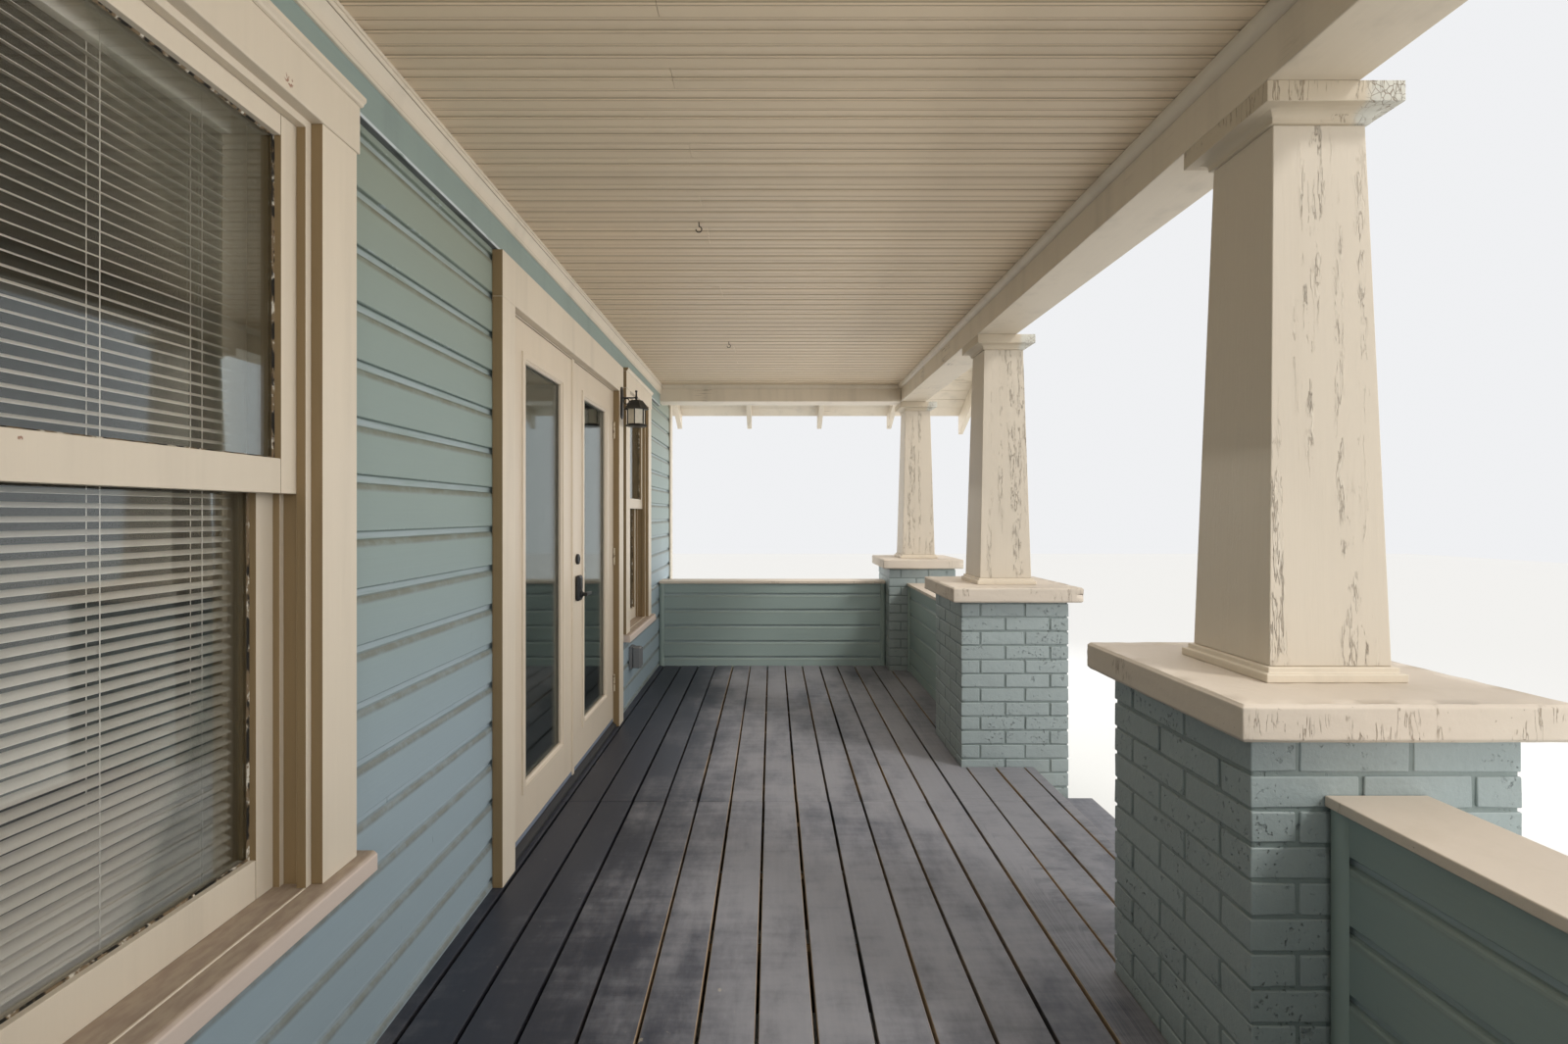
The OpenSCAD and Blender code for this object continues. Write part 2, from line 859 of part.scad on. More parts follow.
module column_bases() {
    step = 10;
    color("wheat")
        at_piers()
            square_moulding([[base_w / 2, cap_top], [base_w / 2, cap_top + base_h * 0.6],
                             [base_w / 2 - step, cap_top + base_h * 0.6],
                             [base_w / 2 - step, cap_top + base_h]]);
}

shaft_low = cap_top + base_h;
shaft_top = beam_z - capital_h - cove_h;
module column_shafts() {
    color("wheat")
        at_piers()
            square_moulding([[foot_w / 2, shaft_low], [top_w / 2, shaft_top]]);
}

// Capital: a fillet, a cove that spreads to the block, and the block
module column_capitals() {
    fillet = 8;
    r = cove_h - fillet;
    color("wheat")
        at_piers()
            square_moulding(concat([[top_w / 2, shaft_top], [top_w / 2 + fillet, shaft_top],
                                    [top_w / 2 + fillet, shaft_top + fillet]],
                                   [for (i = [1:5])
                                        [top_w / 2 + fillet + (capital_w / 2 - top_w / 2 - 2 * fillet) *
                                             (1 - cos(90 * i / 6)),
                                         shaft_top + fillet + r * sin(90 * i / 6)]],
                                   [[capital_w / 2 - fillet, shaft_top + cove_h],
                                    [capital_w / 2, shaft_top + cove_h], [capital_w / 2, beam_z]]));
}

// Knee walls
module front_knee_walls() {
    color("cadetblue")
        both_sides()
            block([entry_x + pier_w / 2, knee_y - knee_t / 2, 0],
                  [corner_x - pier_w / 2, knee_in_y, knee_top - knee_cap_t]);
}

module end_knee_walls() {
    color("cadetblue")
        both_sides()
            block([corner_x - knee_t / 2, pier_in, 0], [corner_x + knee_t / 2, 0, knee_top - knee_cap_t]);
}

module knee_wall_caps() {
    color("wheat")
        both_sides() {
            block([entry_x + pier_w / 2, knee_y - knee_cap_w / 2, knee_top - knee_cap_t],
                  [corner_x - pier_w / 2, knee_y + knee_cap_w / 2, knee_top]);
            block([corner_x - knee_cap_w / 2, pier_in, knee_top - knee_cap_t],
                  [corner_x + knee_cap_w / 2, 0, knee_top]);
        }
}

// A rounded upright strip on a wall face at y = 0, from the origin along x, standing out to -y
module round_strip(low) {
    half = knee_trim_w / 2;
    r = (half * half + knee_trim_t * knee_trim_t) / (2 * knee_trim_t);
    translate([0, 0, low])
        intersection() {
            translate([half, r - knee_trim_t, 0]) cylinder(r = r, h = knee_top - knee_cap_t - low);
            translate([0, -knee_trim_t, -cut]) cube([knee_trim_w, knee_trim_t, knee_top]);
        }
}

// Strips that close the siding of a knee wall at its ends, inside and outside
module knee_wall_trim() {
    foot = 30;
    color("cadetblue")
        both_sides() {
            for (x = [entry_x + pier_w / 2, corner_x - pier_w / 2 - knee_trim_w]) {
                translate([x + knee_trim_w, knee_in_y, 0]) rotate(180) round_strip(floor_h);
                translate([x, knee_y - knee_t / 2, 0]) round_strip(foot);
            }
            for (y = [pier_in, -knee_trim_w]) {
                translate([knee_in_x, y + knee_trim_w, 0]) rotate(-90) round_strip(floor_h);
                translate([corner_x + knee_t / 2, y, 0]) rotate(90) round_strip(foot);
            }
        }
}

// Beams and ceiling
module front_beam() {
    color("wheat")
        block([-beam_out_x, beam_out_y, beam_z], [beam_out_x, beam_in_y, front_beam_top]);
}

module end_beams() {
    color("wheat")
        both_sides()
            block([beam_in_x, beam_in_y, beam_z], [beam_out_x, 0, end_beam_top]);
}

module bed_moulding() {
    color("wheat") {
        along_x(-beam_in_x, beam_in_x,
                concat([[beam_in_y, ceiling_z], [beam_in_y, ceiling_z - bed_r]],
                       arc(beam_in_y, ceiling_z, bed_r, -75, 0)));
        both_sides()
            along_y(beam_in_y, -frieze_t - crown_t,
                    concat([[beam_in_x, ceiling_z]], arc(beam_in_x, ceiling_z, bed_r, 180, 270)));
    }
}

module ceiling() {
    color("wheat")
        block([-beam_in_x, beam_in_y, ceiling_z], [beam_in_x, 0, ceiling_z + ceiling_t]);
}

hook_xs = [-152, 1581];
hook_y = -680;
module ceiling_hooks() {
    wire = 2.5;
    r = 13;
    stem = 14;
    color("dimgray")
        for (x = hook_xs)
            translate([x, hook_y, ceiling_z]) {
                translate([0, 0, -stem]) cylinder(r = wire, h = stem);
                translate([0, 0, -stem - r])
                    rotate([90, 0, 0])
                        rotate([0, 0, -180])
                            rotate_extrude(angle = 270) translate([r, 0]) circle(wire);
            }
}

// Gable and roof
module gable_wall() {
    color("cadetblue")
        along_y(gable_y - gable_t / 2, gable_y + gable_t / 2,
                [[-beam_out_x, front_beam_top], [beam_out_x, front_beam_top],
                 [beam_out_x, roof_z(beam_out_x) - rafter_plumb],
                 [0, roof_z(0) - rafter_plumb],
                 [-beam_out_x, roof_z(beam_out_x) - rafter_plumb]]);
}

rafter_ys = [for (i = [0:rafter_pairs - 1])
                 -rafter_t / 2 + (gable_y + rafter_t / 2) * i / (rafter_pairs - 1)];

// Half outline of a sloping board that hangs under the roof boards, plumb cut at both ends
function slope_outline(x0, x1, plumb) =
    [[x0, roof_z(x0)], [x1, roof_z(x1)], [x1, roof_z(x1) - plumb], [x0, roof_z(x0) - plumb]];

module rafters() {
    color("burlywood")
        both_sides()
            difference() {
                for (y = rafter_ys)
                    along_y(y - rafter_t / 2, y + rafter_t / 2,
                            slope_outline(ridge_t / 2, eave_x, rafter_plumb));
                block([beam_in_x, beam_in_y, beam_z], [beam_out_x, cut, end_beam_top]);
            }
}

module ridge_board() {
    color("burlywood")
        along_x(-ridge_t / 2, ridge_t / 2,
                [[0, roof_z(0) - rafter_plumb], [0, roof_z(ridge_t / 2)],
                 [barge_y - rafter_t / 2, roof_z(ridge_t / 2)],
                 [barge_y - rafter_t / 2, roof_z(0) - rafter_plumb]]);
}

module barge_boards() {
    color("wheat")
        both_sides()
            along_y(barge_y - rafter_t / 2, barge_y + rafter_t / 2,
                    slope_outline(ridge_t / 2, eave_x, barge_h * slope_len));
}

module roof_slab(x0, x1, y0, low, thick) {
    along_y(y0, wall_back,
            [[x0, roof_z(x0) + low], [x1, roof_z(x1) + low],
             [x1, roof_z(x1) + low + thick], [x0, roof_z(x0) + low + thick]]);
}

module roof_boards() {
    color("burlywood") both_sides() roof_slab(roof_gap, eave_x, roof_front, 0, roof_board_t);
}

module roof_shingles() {
    color("dimgray")
        both_sides() roof_slab(roof_gap, eave_x + drip, roof_front - drip, roof_board_t, shingle_t);
}

module ridge_cap() {
    top = roof_board_t + shingle_t;
    color("dimgray")
        along_y(roof_front - drip, wall_back,
                [[-ridge_cap_w, roof_z(ridge_cap_w) + top], [0, roof_z(0) + top],
                 [ridge_cap_w, roof_z(ridge_cap_w) + top],
                 [ridge_cap_w, roof_z(ridge_cap_w) + top + ridge_cap_t], [0, roof_z(0) + top + ridge_cap_t],
                 [-ridge_cap_w, roof_z(ridge_cap_w) + top + ridge_cap_t]]);
}

in_frame() house_foundation();
in_frame() wall_near();
in_frame() wall_far();
in_frame() wall_over_door();
in_frame() wall_attic();
in_frame() house_siding();
in_frame() frieze_board();
in_frame() crown_moulding();
in_frame() corner_boards();
in_frame() window_casings();
in_frame() window_sills();
in_frame() window_frames();
in_frame() upper_sashes();
in_frame() lower_sashes();
in_frame() window_panes();
in_frame() window_blinds();
in_frame() door_casing();
in_frame() door_frame();
in_frame() door_threshold();
in_frame() door_hinges();
in_frame() near_door_leaf();
in_frame() near_door_pane();
in_frame() far_door_leaf();
in_frame() far_door_pane();
in_frame() door_lock();
in_frame() lantern_frame();
in_frame() lantern_panes();
in_frame() outlet_cover();
in_frame() deck_boards();
in_frame() deck_rims();
in_frame() deck_joists();
in_frame() entry_treads();
in_frame() step_stringers();
in_frame() brick_piers();
in_frame() pier_caps();
in_frame() column_bases();
in_frame() column_shafts();
in_frame() column_capitals();
in_frame() front_knee_walls();
in_frame() end_knee_walls();
in_frame() knee_wall_caps();
in_frame() knee_wall_trim();
in_frame() front_beam();
in_frame() end_beams();
in_frame() bed_moulding();
in_frame() ceiling();
in_frame() ceiling_hooks();
in_frame() gable_wall();
in_frame() rafters();
in_frame() ridge_board();
in_frame() barge_boards();
in_frame() roof_boards();
in_frame() roof_shingles();
in_frame() ridge_cap();
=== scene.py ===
"""A covered front porch: brick piers with box columns, a board deck, sided walls and a gable roof."""

import math
import random

import bpy
from mathutils import Matrix, Vector


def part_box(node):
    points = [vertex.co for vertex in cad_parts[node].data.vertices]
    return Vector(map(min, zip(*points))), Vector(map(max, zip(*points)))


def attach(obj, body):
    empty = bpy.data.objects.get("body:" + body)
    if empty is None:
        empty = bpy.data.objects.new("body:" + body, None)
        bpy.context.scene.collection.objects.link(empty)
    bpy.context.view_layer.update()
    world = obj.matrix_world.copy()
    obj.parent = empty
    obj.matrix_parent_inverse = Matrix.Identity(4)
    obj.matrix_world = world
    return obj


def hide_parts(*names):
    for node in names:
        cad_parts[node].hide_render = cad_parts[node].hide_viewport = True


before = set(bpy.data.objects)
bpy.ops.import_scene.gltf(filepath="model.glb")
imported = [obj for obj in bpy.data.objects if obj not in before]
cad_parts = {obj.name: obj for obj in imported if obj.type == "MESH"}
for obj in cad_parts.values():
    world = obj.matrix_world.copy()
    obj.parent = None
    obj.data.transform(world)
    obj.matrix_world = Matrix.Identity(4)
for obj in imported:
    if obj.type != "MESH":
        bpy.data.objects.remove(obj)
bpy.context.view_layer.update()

# Camera
# The photographer stands on the deck near the house wall, close to the near end, and looks
# level along the porch. The lens is very wide.
siding_low, siding_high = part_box("house_siding")
deck_low, deck_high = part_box("deck_boards")
wall_y = siding_low[1]
deck_z = deck_high[2]
eye_height = 1.2665
eye_from_wall = 0.95
eye_x = -2.658
camera_data = bpy.data.cameras.new("porch_camera")
camera_data.lens = 15.64
camera_data.shift_x = 0.0075
camera_data.shift_y = -0.0047
camera_data.clip_start = 0.02
camera = bpy.data.objects.new("porch_camera", camera_data)
camera.location = (eye_x, wall_y - eye_from_wall, deck_z + eye_height)
camera.rotation_euler = (math.radians(90), 0, math.radians(-90))
bpy.context.scene.collection.objects.link(camera)
bpy.context.scene.camera = camera


# Studio
# A wide pale floor at ground level, a pale surround, a soft sun from above the street, weaker
# lamps at the street and at both ends, and a long one under the beam that fills the porch.
def srgb(red, green, blue):
    """Turns a colour of 0 to 255 as a screen shows it into the linear colour of a shader."""
    linear = [((c / 255 + 0.055) / 1.055) ** 2.4 if c > 10 else c / 255 / 12.92 for c in (red, green, blue)]
    return (*linear, 1.0)


class Wire:
    """One output of a shader node. Sums, products and quotients of wires add their Math nodes."""

    def __init__(self, nodes, socket):
        self.nodes = nodes
        self.socket = socket

    def __add__(self, other):
        return self.nodes.maths("ADD", self, other)

    def __radd__(self, other):
        return self.nodes.maths("ADD", other, self)

    def __sub__(self, other):
        return self.nodes.maths("SUBTRACT", self, other)

    def __rsub__(self, other):
        return self.nodes.maths("SUBTRACT", other, self)

    def __mul__(self, other):
        return self.nodes.maths("MULTIPLY", self, other)

    def __rmul__(self, other):
        return self.nodes.maths("MULTIPLY", other, self)

    def __truediv__(self, other):
        return self.nodes.maths("DIVIDE", self, other)

    def __abs__(self):
        return self.nodes.maths("ABSOLUTE", self)


class Nodes:
    """A node tree as it is built up. One method adds any node, and the rest call it."""

    def __init__(self, tree):
        self.tree = tree

    def feed(self, socket, value):
        if isinstance(value, Wire):
            self.tree.links.new(value.socket, socket)
        else:
            socket.default_value = value

    def node(self, kind, settings=None, sockets=None, output=0):
        """Adds a node. Its settings are set first, then the values or wires of its sockets."""
        made = self.tree.nodes.new(kind)
        for name, value in (settings or {}).items():
            setattr(made, name, value)
        for name, value in (sockets or {}).items():
            self.feed(made.inputs[name], value)
        return Wire(self, made.outputs[output])

    def maths(self, operation, first, second=0.0):
        return self.node("ShaderNodeMath", {"operation": operation}, {0: first, 1: second})


class Finish(Nodes):
    """A material, with the patterns and masks that the finishes here are made of."""

    def __init__(self, name):
        self.material = bpy.data.materials.new(name)
        self.material.use_nodes = True
        super().__init__(self.material.node_tree)
        self.shader = self.tree.nodes["Principled BSDF"]

    def place(self, stretch=(1, 1, 1)):
        """Object coordinates, stretched along the axes."""
        spot = self.node("ShaderNodeTexCoord", output="Object")
        return self.node("ShaderNodeMapping", sockets={"Vector": spot, "Scale": stretch})

    def noise(self, scale, stretch=(1, 1, 1), detail=4.0, rough=0.55, warp=0.0, seed=0.0):
        """A cloudy pattern. A seed may be a wire, so that each board has a pattern of its own."""
        return self.node("ShaderNodeTexNoise", {"noise_dimensions": "4D"}, {
            "Vector": self.place(stretch), "Scale": scale, "Detail": detail,
            "Roughness": rough, "Distortion": warp, "W": seed})

    def step(self, wire, low, high):
        """Zero below low, one above high and smooth between them."""
        return self.node("ShaderNodeMapRange", {"interpolation_type": "SMOOTHSTEP"},
                         {"Value": wire, "From Min": low, "From Max": high})

    def spots(self, low, high, scale, stretch=(1, 1, 1), **pattern):
        """The parts of a cloudy pattern above a level that goes from low to high."""
        return self.step(self.noise(scale, stretch, **pattern), low, high)

    def lines(self, pattern, low, high, middle=1):
        """Thin lines, as cracks run, where a pattern passes half of a middle."""
        return self.step(1 - abs(2 * pattern - middle), low, high)

    def fraction(self, wire):
        """What is left of a number after its point."""
        return self.node("ShaderNodeMath", {"operation": "FRACT"}, {0: wire})

    def mix(self, share, first, second, blend="MIX"):
        return self.node("ShaderNodeMix", {"data_type": "RGBA", "blend_type": blend},
                         {0: share, 6: first, 7: second}, output=2)

    def coats(self, colour, *coats):
        """The colour under coats, each with its share and its own colour of 0 to 255."""
        for share, coat in coats:
            colour = self.mix(share, colour, srgb(*coat))
        return colour

    def shade(self, colour, factor):
        """The colour, darkened or lightened by a number or a wire."""
        grey = self.node("ShaderNodeCombineColor", sockets={"Red": factor, "Green": factor, "Blue": factor})
        return self.mix(1.0, colour, grey, "MULTIPLY")

    def tone(self):
        """The number that each board, brick or shingle carries in its mesh, from -1 to 1."""
        return self.node("ShaderNodeAttribute", {"attribute_name": "tone"}, output="Fac")

    def side(self, axis):
        """How far the surface faces along an axis, from -1 to 1."""
        facing = self.node("ShaderNodeTexCoord", output="Normal")
        return self.node("ShaderNodeSeparateXYZ", sockets={"Vector": facing}, output=axis)

    def along(self, axis):
        """The place along an axis, in metres."""
        return self.node("ShaderNodeSeparateXYZ", sockets={"Vector": self.place()}, output=axis)

    def set(self, **sockets):
        for name, value in sockets.items():
            self.feed(self.shader.inputs[name.replace("_", " ")], value)
        return self

    def bump(self, height, depth):
        """Raises the surface by a height of 0 to 1 times a depth in metres."""
        return self.set(Normal=self.node("ShaderNodeBump", sockets={"Height": height, "Distance": depth,
                                                                    "Strength": 1.0}))


bpy.context.scene.view_settings.view_transform = "Standard"
floor_finish = Finish("studio_floor").set(Base_Color=srgb(226, 225, 222), Roughness=0.9)
bpy.ops.mesh.primitive_plane_add(size=60, location=(0, 0, 0))
studio_floor = bpy.context.object
studio_floor.name = "studio_floor"
studio_floor.data.materials.append(floor_finish.material)

world = bpy.data.worlds.new("studio_surround")
world.use_nodes = True
bpy.context.scene.world = world
surround = Nodes(world.node_tree)
rays = [surround.node("ShaderNodeLightPath", output=f"Is {kind} Ray")
        for kind in ("Camera", "Glossy", "Transmission")]
seen = surround.maths("MAXIMUM", surround.maths("MAXIMUM", rays[0], rays[1]), rays[2])
level = surround.node("ShaderNodeMapRange", sockets={"To Min": 0.96, "To Max": 0.97, "Value": seen})
background = surround.tree.nodes["Background"]
surround.feed(background.inputs["Color"], srgb(243, 244, 246))
surround.feed(background.inputs["Strength"], level)


def lamp(name, kind, way, energy, colour):
    """A lamp that shines along a direction."""
    data = bpy.data.lights.new(name, kind)
    data.energy = energy
    data.color = colour
    made = bpy.data.objects.new(name, data)
    made.rotation_euler = Vector(way).to_track_quat("-Z", "Y").to_euler()
    bpy.context.scene.collection.objects.link(made)
    return made


def softbox(name, place, aim, size, watts, colour, mirrored=False):
    """A large area lamp of a width and a height that points at a spot, and that gloss may show."""
    box = lamp(name, "AREA", Vector(aim) - Vector(place), watts, colour)
    box.location = place
    box.data.shape = "RECTANGLE"
    box.data.size, box.data.size_y = size
    box.visible_camera = False
    box.visible_glossy = mirrored


lamp("street_sun", "SUN", (0.55, 0.75, -0.85), 1.42, (1.0, 0.97, 0.92)).data.angle = math.radians(12)
softbox("near_end_lamp", (-7.5, -2.0, 3.0), (0, 0.5, 1.6), (4, 4), 165, (1.0, 0.98, 0.95), mirrored=True)
softbox("street_lamp", (-0.5, -6.5, 1.0), (0, 1.0, 2.2), (6, 6), 190, (1.0, 0.99, 0.97))
softbox("far_end_lamp", (7.5, 0.2, 2.2), (0, 0.6, 1.5), (3, 3), 215, (0.97, 0.98, 1.0))
softbox("porch_lamp", (0, -0.4, 2.3), (0, 1.4, 1.2), (5.6, 0.5), 17, (1.0, 0.99, 0.97))


# Foundation
# The house stands on a low wall of cast concrete, which the deck hides along its front. It was
# rendered over and shows only at the two ends.
def dress(finish, *nodes):
    """Gives carried-over nodes a finish."""
    for name in nodes:
        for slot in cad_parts[name].material_slots:
            slot.material = finish.material


concrete = Finish("cast_foundation")
sand = concrete.noise(120, detail=3)
cast = concrete.shade(srgb(150, 148, 142), 0.86 + 0.24 * concrete.noise(2.2, detail=6) + 0.08 * sand)
concrete.set(Base_Color=cast, Roughness=0.93).bump(0.5 * sand + 0.5 * concrete.noise(26), 0.002)
dress(concrete, "house_foundation")

# House wall
# Stud walls carry the siding, the windows and the doors. Their back is lined with plaster, where
# the rooms of the house begin.
plaster = Finish("wall_lining")
trowelled = plaster.shade(srgb(190, 180, 160), 0.93 + 0.12 * plaster.noise(1.4, detail=5))
plaster.set(Base_Color=trowelled, Roughness=0.85).bump(plaster.noise(60), 0.0006)
dress(plaster, "wall_near", "wall_far", "wall_over_door", "wall_attic")

# House siding
# Drop siding of sawn pine, 132 mm to the weather: a flat face, a cove above it and a thin lip that
# goes behind the next board. Painted sage many times, with painted highlights and painted shade in
# the laps and a brown band at the foot of each cove.
exposure = 0.132
siding_face = 0.100
siding_recess = 0.0115
cove_r = 0.014
edge_r = 0.0022
board_t = 0.0195
end_gap_half = 0.0006
siding_line = 2.02
past = 0.01
clear = 0.05
draw = random.Random(7)


def select_only(*pieces):
    bpy.ops.object.select_all(action="DESELECT")
    for piece in pieces:
        piece.select_set(True)
    bpy.context.view_layer.objects.active = pieces[0]


def edit(piece, *steps):
    """Runs edit-mode steps on all of a piece. A step is an operator with its settings."""
    select_only(piece)
    bpy.ops.object.mode_set(mode="EDIT")
    for operator, settings in steps:
        bpy.ops.mesh.select_all(action="SELECT")
        operator(**settings)
    bpy.ops.object.mode_set(mode="OBJECT")
    return piece


def moulding(name, outline, axis, start, end, slant=None):
    """A bar: an outline across an axis as one face, extruded along it. A slant of one number for
    each point of the outline lengthens the bar there at both ends, as a mitre does."""
    count = len(outline)
    bpy.ops.mesh.primitive_circle_add(vertices=count, radius=1, fill_type="NGON", location=(0, 0, 0))
    bar = bpy.context.object
    bar.name = name
    edit(bar, (bpy.ops.mesh.extrude_region_move, {"TRANSFORM_OT_translate": {"value": (0, 0, 1)}}))
    slant = slant or [0] * count
    places = [(start - more, a, b) for (a, b), more in zip(outline, slant)]
    places += [(end + more, a, b) for (a, b), more in zip(outline, slant)]
    for vertex, (along, a, b) in zip(bar.data.vertices, places):
        vertex.co = {"X": (along, a, b), "Y": (a, along, b), "Z": (a, b, along)}[axis]
    return edit(bar, (bpy.ops.mesh.normals_make_consistent, {"inside": False}))


def repeat(name, models, places):
    """Copies models to places, every copy with its own mesh, and joins them in one piece. A place
    is a matrix and a tone, and where there is more than one model they take turns at random."""
    parts = []
    for matrix, tone in places:
        mesh = draw.choice(models).data.copy()
        mesh.transform(matrix)
        if matrix.determinant() < 0:
            mesh.flip_normals()
        tones = mesh.attributes.new("tone", "FLOAT", "POINT")
        tones.data.foreach_set("value", [tone] * len(mesh.vertices))
        part = bpy.data.objects.new(name, mesh)
        bpy.context.scene.collection.objects.link(part)
        parts.append(part)
    for model in models:
        bpy.data.objects.remove(model)
    select_only(*parts)
    bpy.ops.object.join()
    piece = bpy.context.object
    piece.name = name
    return piece


def join(name, *pieces):
    select_only(*pieces)
    if len(pieces) > 1:
        bpy.ops.object.join()
    bpy.context.object.name = name
    return bpy.context.object


def modify(piece, kind, **settings):
    """Adds a modifier with its settings and applies it."""
    modifier = piece.modifiers.new(kind.lower(), kind)
    for name, value in settings.items():
        setattr(modifier, name, value)
    select_only(piece)
    bpy.ops.object.modifier_apply(modifier=modifier.name)
    return piece


def smooth(piece, angle=40, keep_flat=True):
    """Shades the faces that meet at less than an angle smoothly. Broad faces may be kept flat."""
    select_only(piece)
    bpy.ops.object.shade_smooth_by_angle(angle=math.radians(angle))
    if keep_flat:
        modify(piece, "WEIGHTED_NORMAL", keep_sharp=True)
    return piece


def soften(piece, width, segments=2, angle=30):
    """Rounds the sharp edges, as layers of paint do, and shades the rest smoothly."""
    modify(piece, "BEVEL", width=width, segments=segments, limit_method="ANGLE",
           angle_limit=math.radians(angle), use_clamp_overlap=True, harden_normals=False)
    return smooth(piece, angle + 15)


def copy_of(name, *nodes):
    """A piece with the same solids as CAD nodes, merged to clean faces."""
    copies = []
    for node in nodes:
        part = bpy.data.objects.new(name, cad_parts[node].data.copy())
        bpy.context.scene.collection.objects.link(part)
        copies.append(part)
    piece = join(name, *copies)
    return edit(piece, (bpy.ops.mesh.remove_doubles, {"threshold": 0.00002}),
                (bpy.ops.mesh.dissolve_limited, {"angle_limit": math.radians(0.5)}))


def deliver(piece, finish, slot, *nodes, body="porch"):
    """Gives a piece its finish, its body and the nodes that it stands for."""
    piece.data.materials.clear()
    piece.data.materials.append(finish.material)
    for face in piece.data.polygons:
        face.material_index = 0
    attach(piece, body)
    if nodes:
        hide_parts(*nodes)
    return piece


def siding_model():
    """One board a metre long: x along, its face at y = 0, and its lower edge at z = 0."""
    cove = [(siding_recess * (1 - math.cos(step * math.pi / 8)),
             siding_face + cove_r * math.sin(step * math.pi / 8)) for step in range(5)]
    outline = [(edge_r, 0), (0, edge_r), *cove, (siding_recess, exposure), (board_t, exposure), (board_t, 0)]
    return moulding("siding_model", outline, "X", 0, 1)


def courses(top_line, low, high):
    """The heights of the course lines that boards need to cover from low to high."""
    first = math.floor((low - top_line) / exposure + 0.001)
    last = math.ceil((high - top_line) / exposure - 0.001)
    return [top_line + exposure * step for step in range(first, last)]


def siding_places(corner, turn, length, heights, joints=()):
    """Boards for one side of a wall, from a corner, turned about Z by degrees. Joints are lengths
    at which a course may break."""
    places = []
    for z in heights:
        stops = [0, length]
        if joints:
            stops.insert(1, draw.choice(joints))
        for near, far in zip(stops, stops[1:]):
            lean = Matrix.Rotation(math.radians(draw.uniform(-0.25, 0.25)), 4, "X")
            spot = Matrix.Translation((*corner, z + draw.uniform(-0.0006, 0.0006)))
            shift = Matrix.Translation((near + end_gap_half, 0, 0))
            size = Matrix.Diagonal((far - near - 2 * end_gap_half, 1, 1, 1))
            places.append((spot @ Matrix.Rotation(math.radians(turn), 4, "Z") @ shift @ lean @ size,
                           draw.uniform(-1, 1)))
    return places


def reface(piece, axis, *moves):
    """Moves flat faces of a solid along an axis, each from one place to another."""
    for vertex in piece.data.vertices:
        for old, new in moves:
            if abs(vertex.co[axis] - old) < 0.0004:
                vertex.co[axis] = new
                break
    return piece


def cut_to_node(piece, node, axis, *moves):
    """Keeps what lies inside a node's outline. Flat faces of the node's copy are moved off first,
    so that they do not cut where the boards' own faces lie."""
    cutter = reface(copy_of("cutter", node), axis, *moves)
    modify(piece, "BOOLEAN", operation="INTERSECT", solver="EXACT", use_self=True, object=cutter)
    bpy.data.objects.remove(cutter)
    return piece


grain_stretch = {"X": (1.2, 26, 26), "Y": (26, 1.2, 26), "Z": (26, 26, 1.2)}


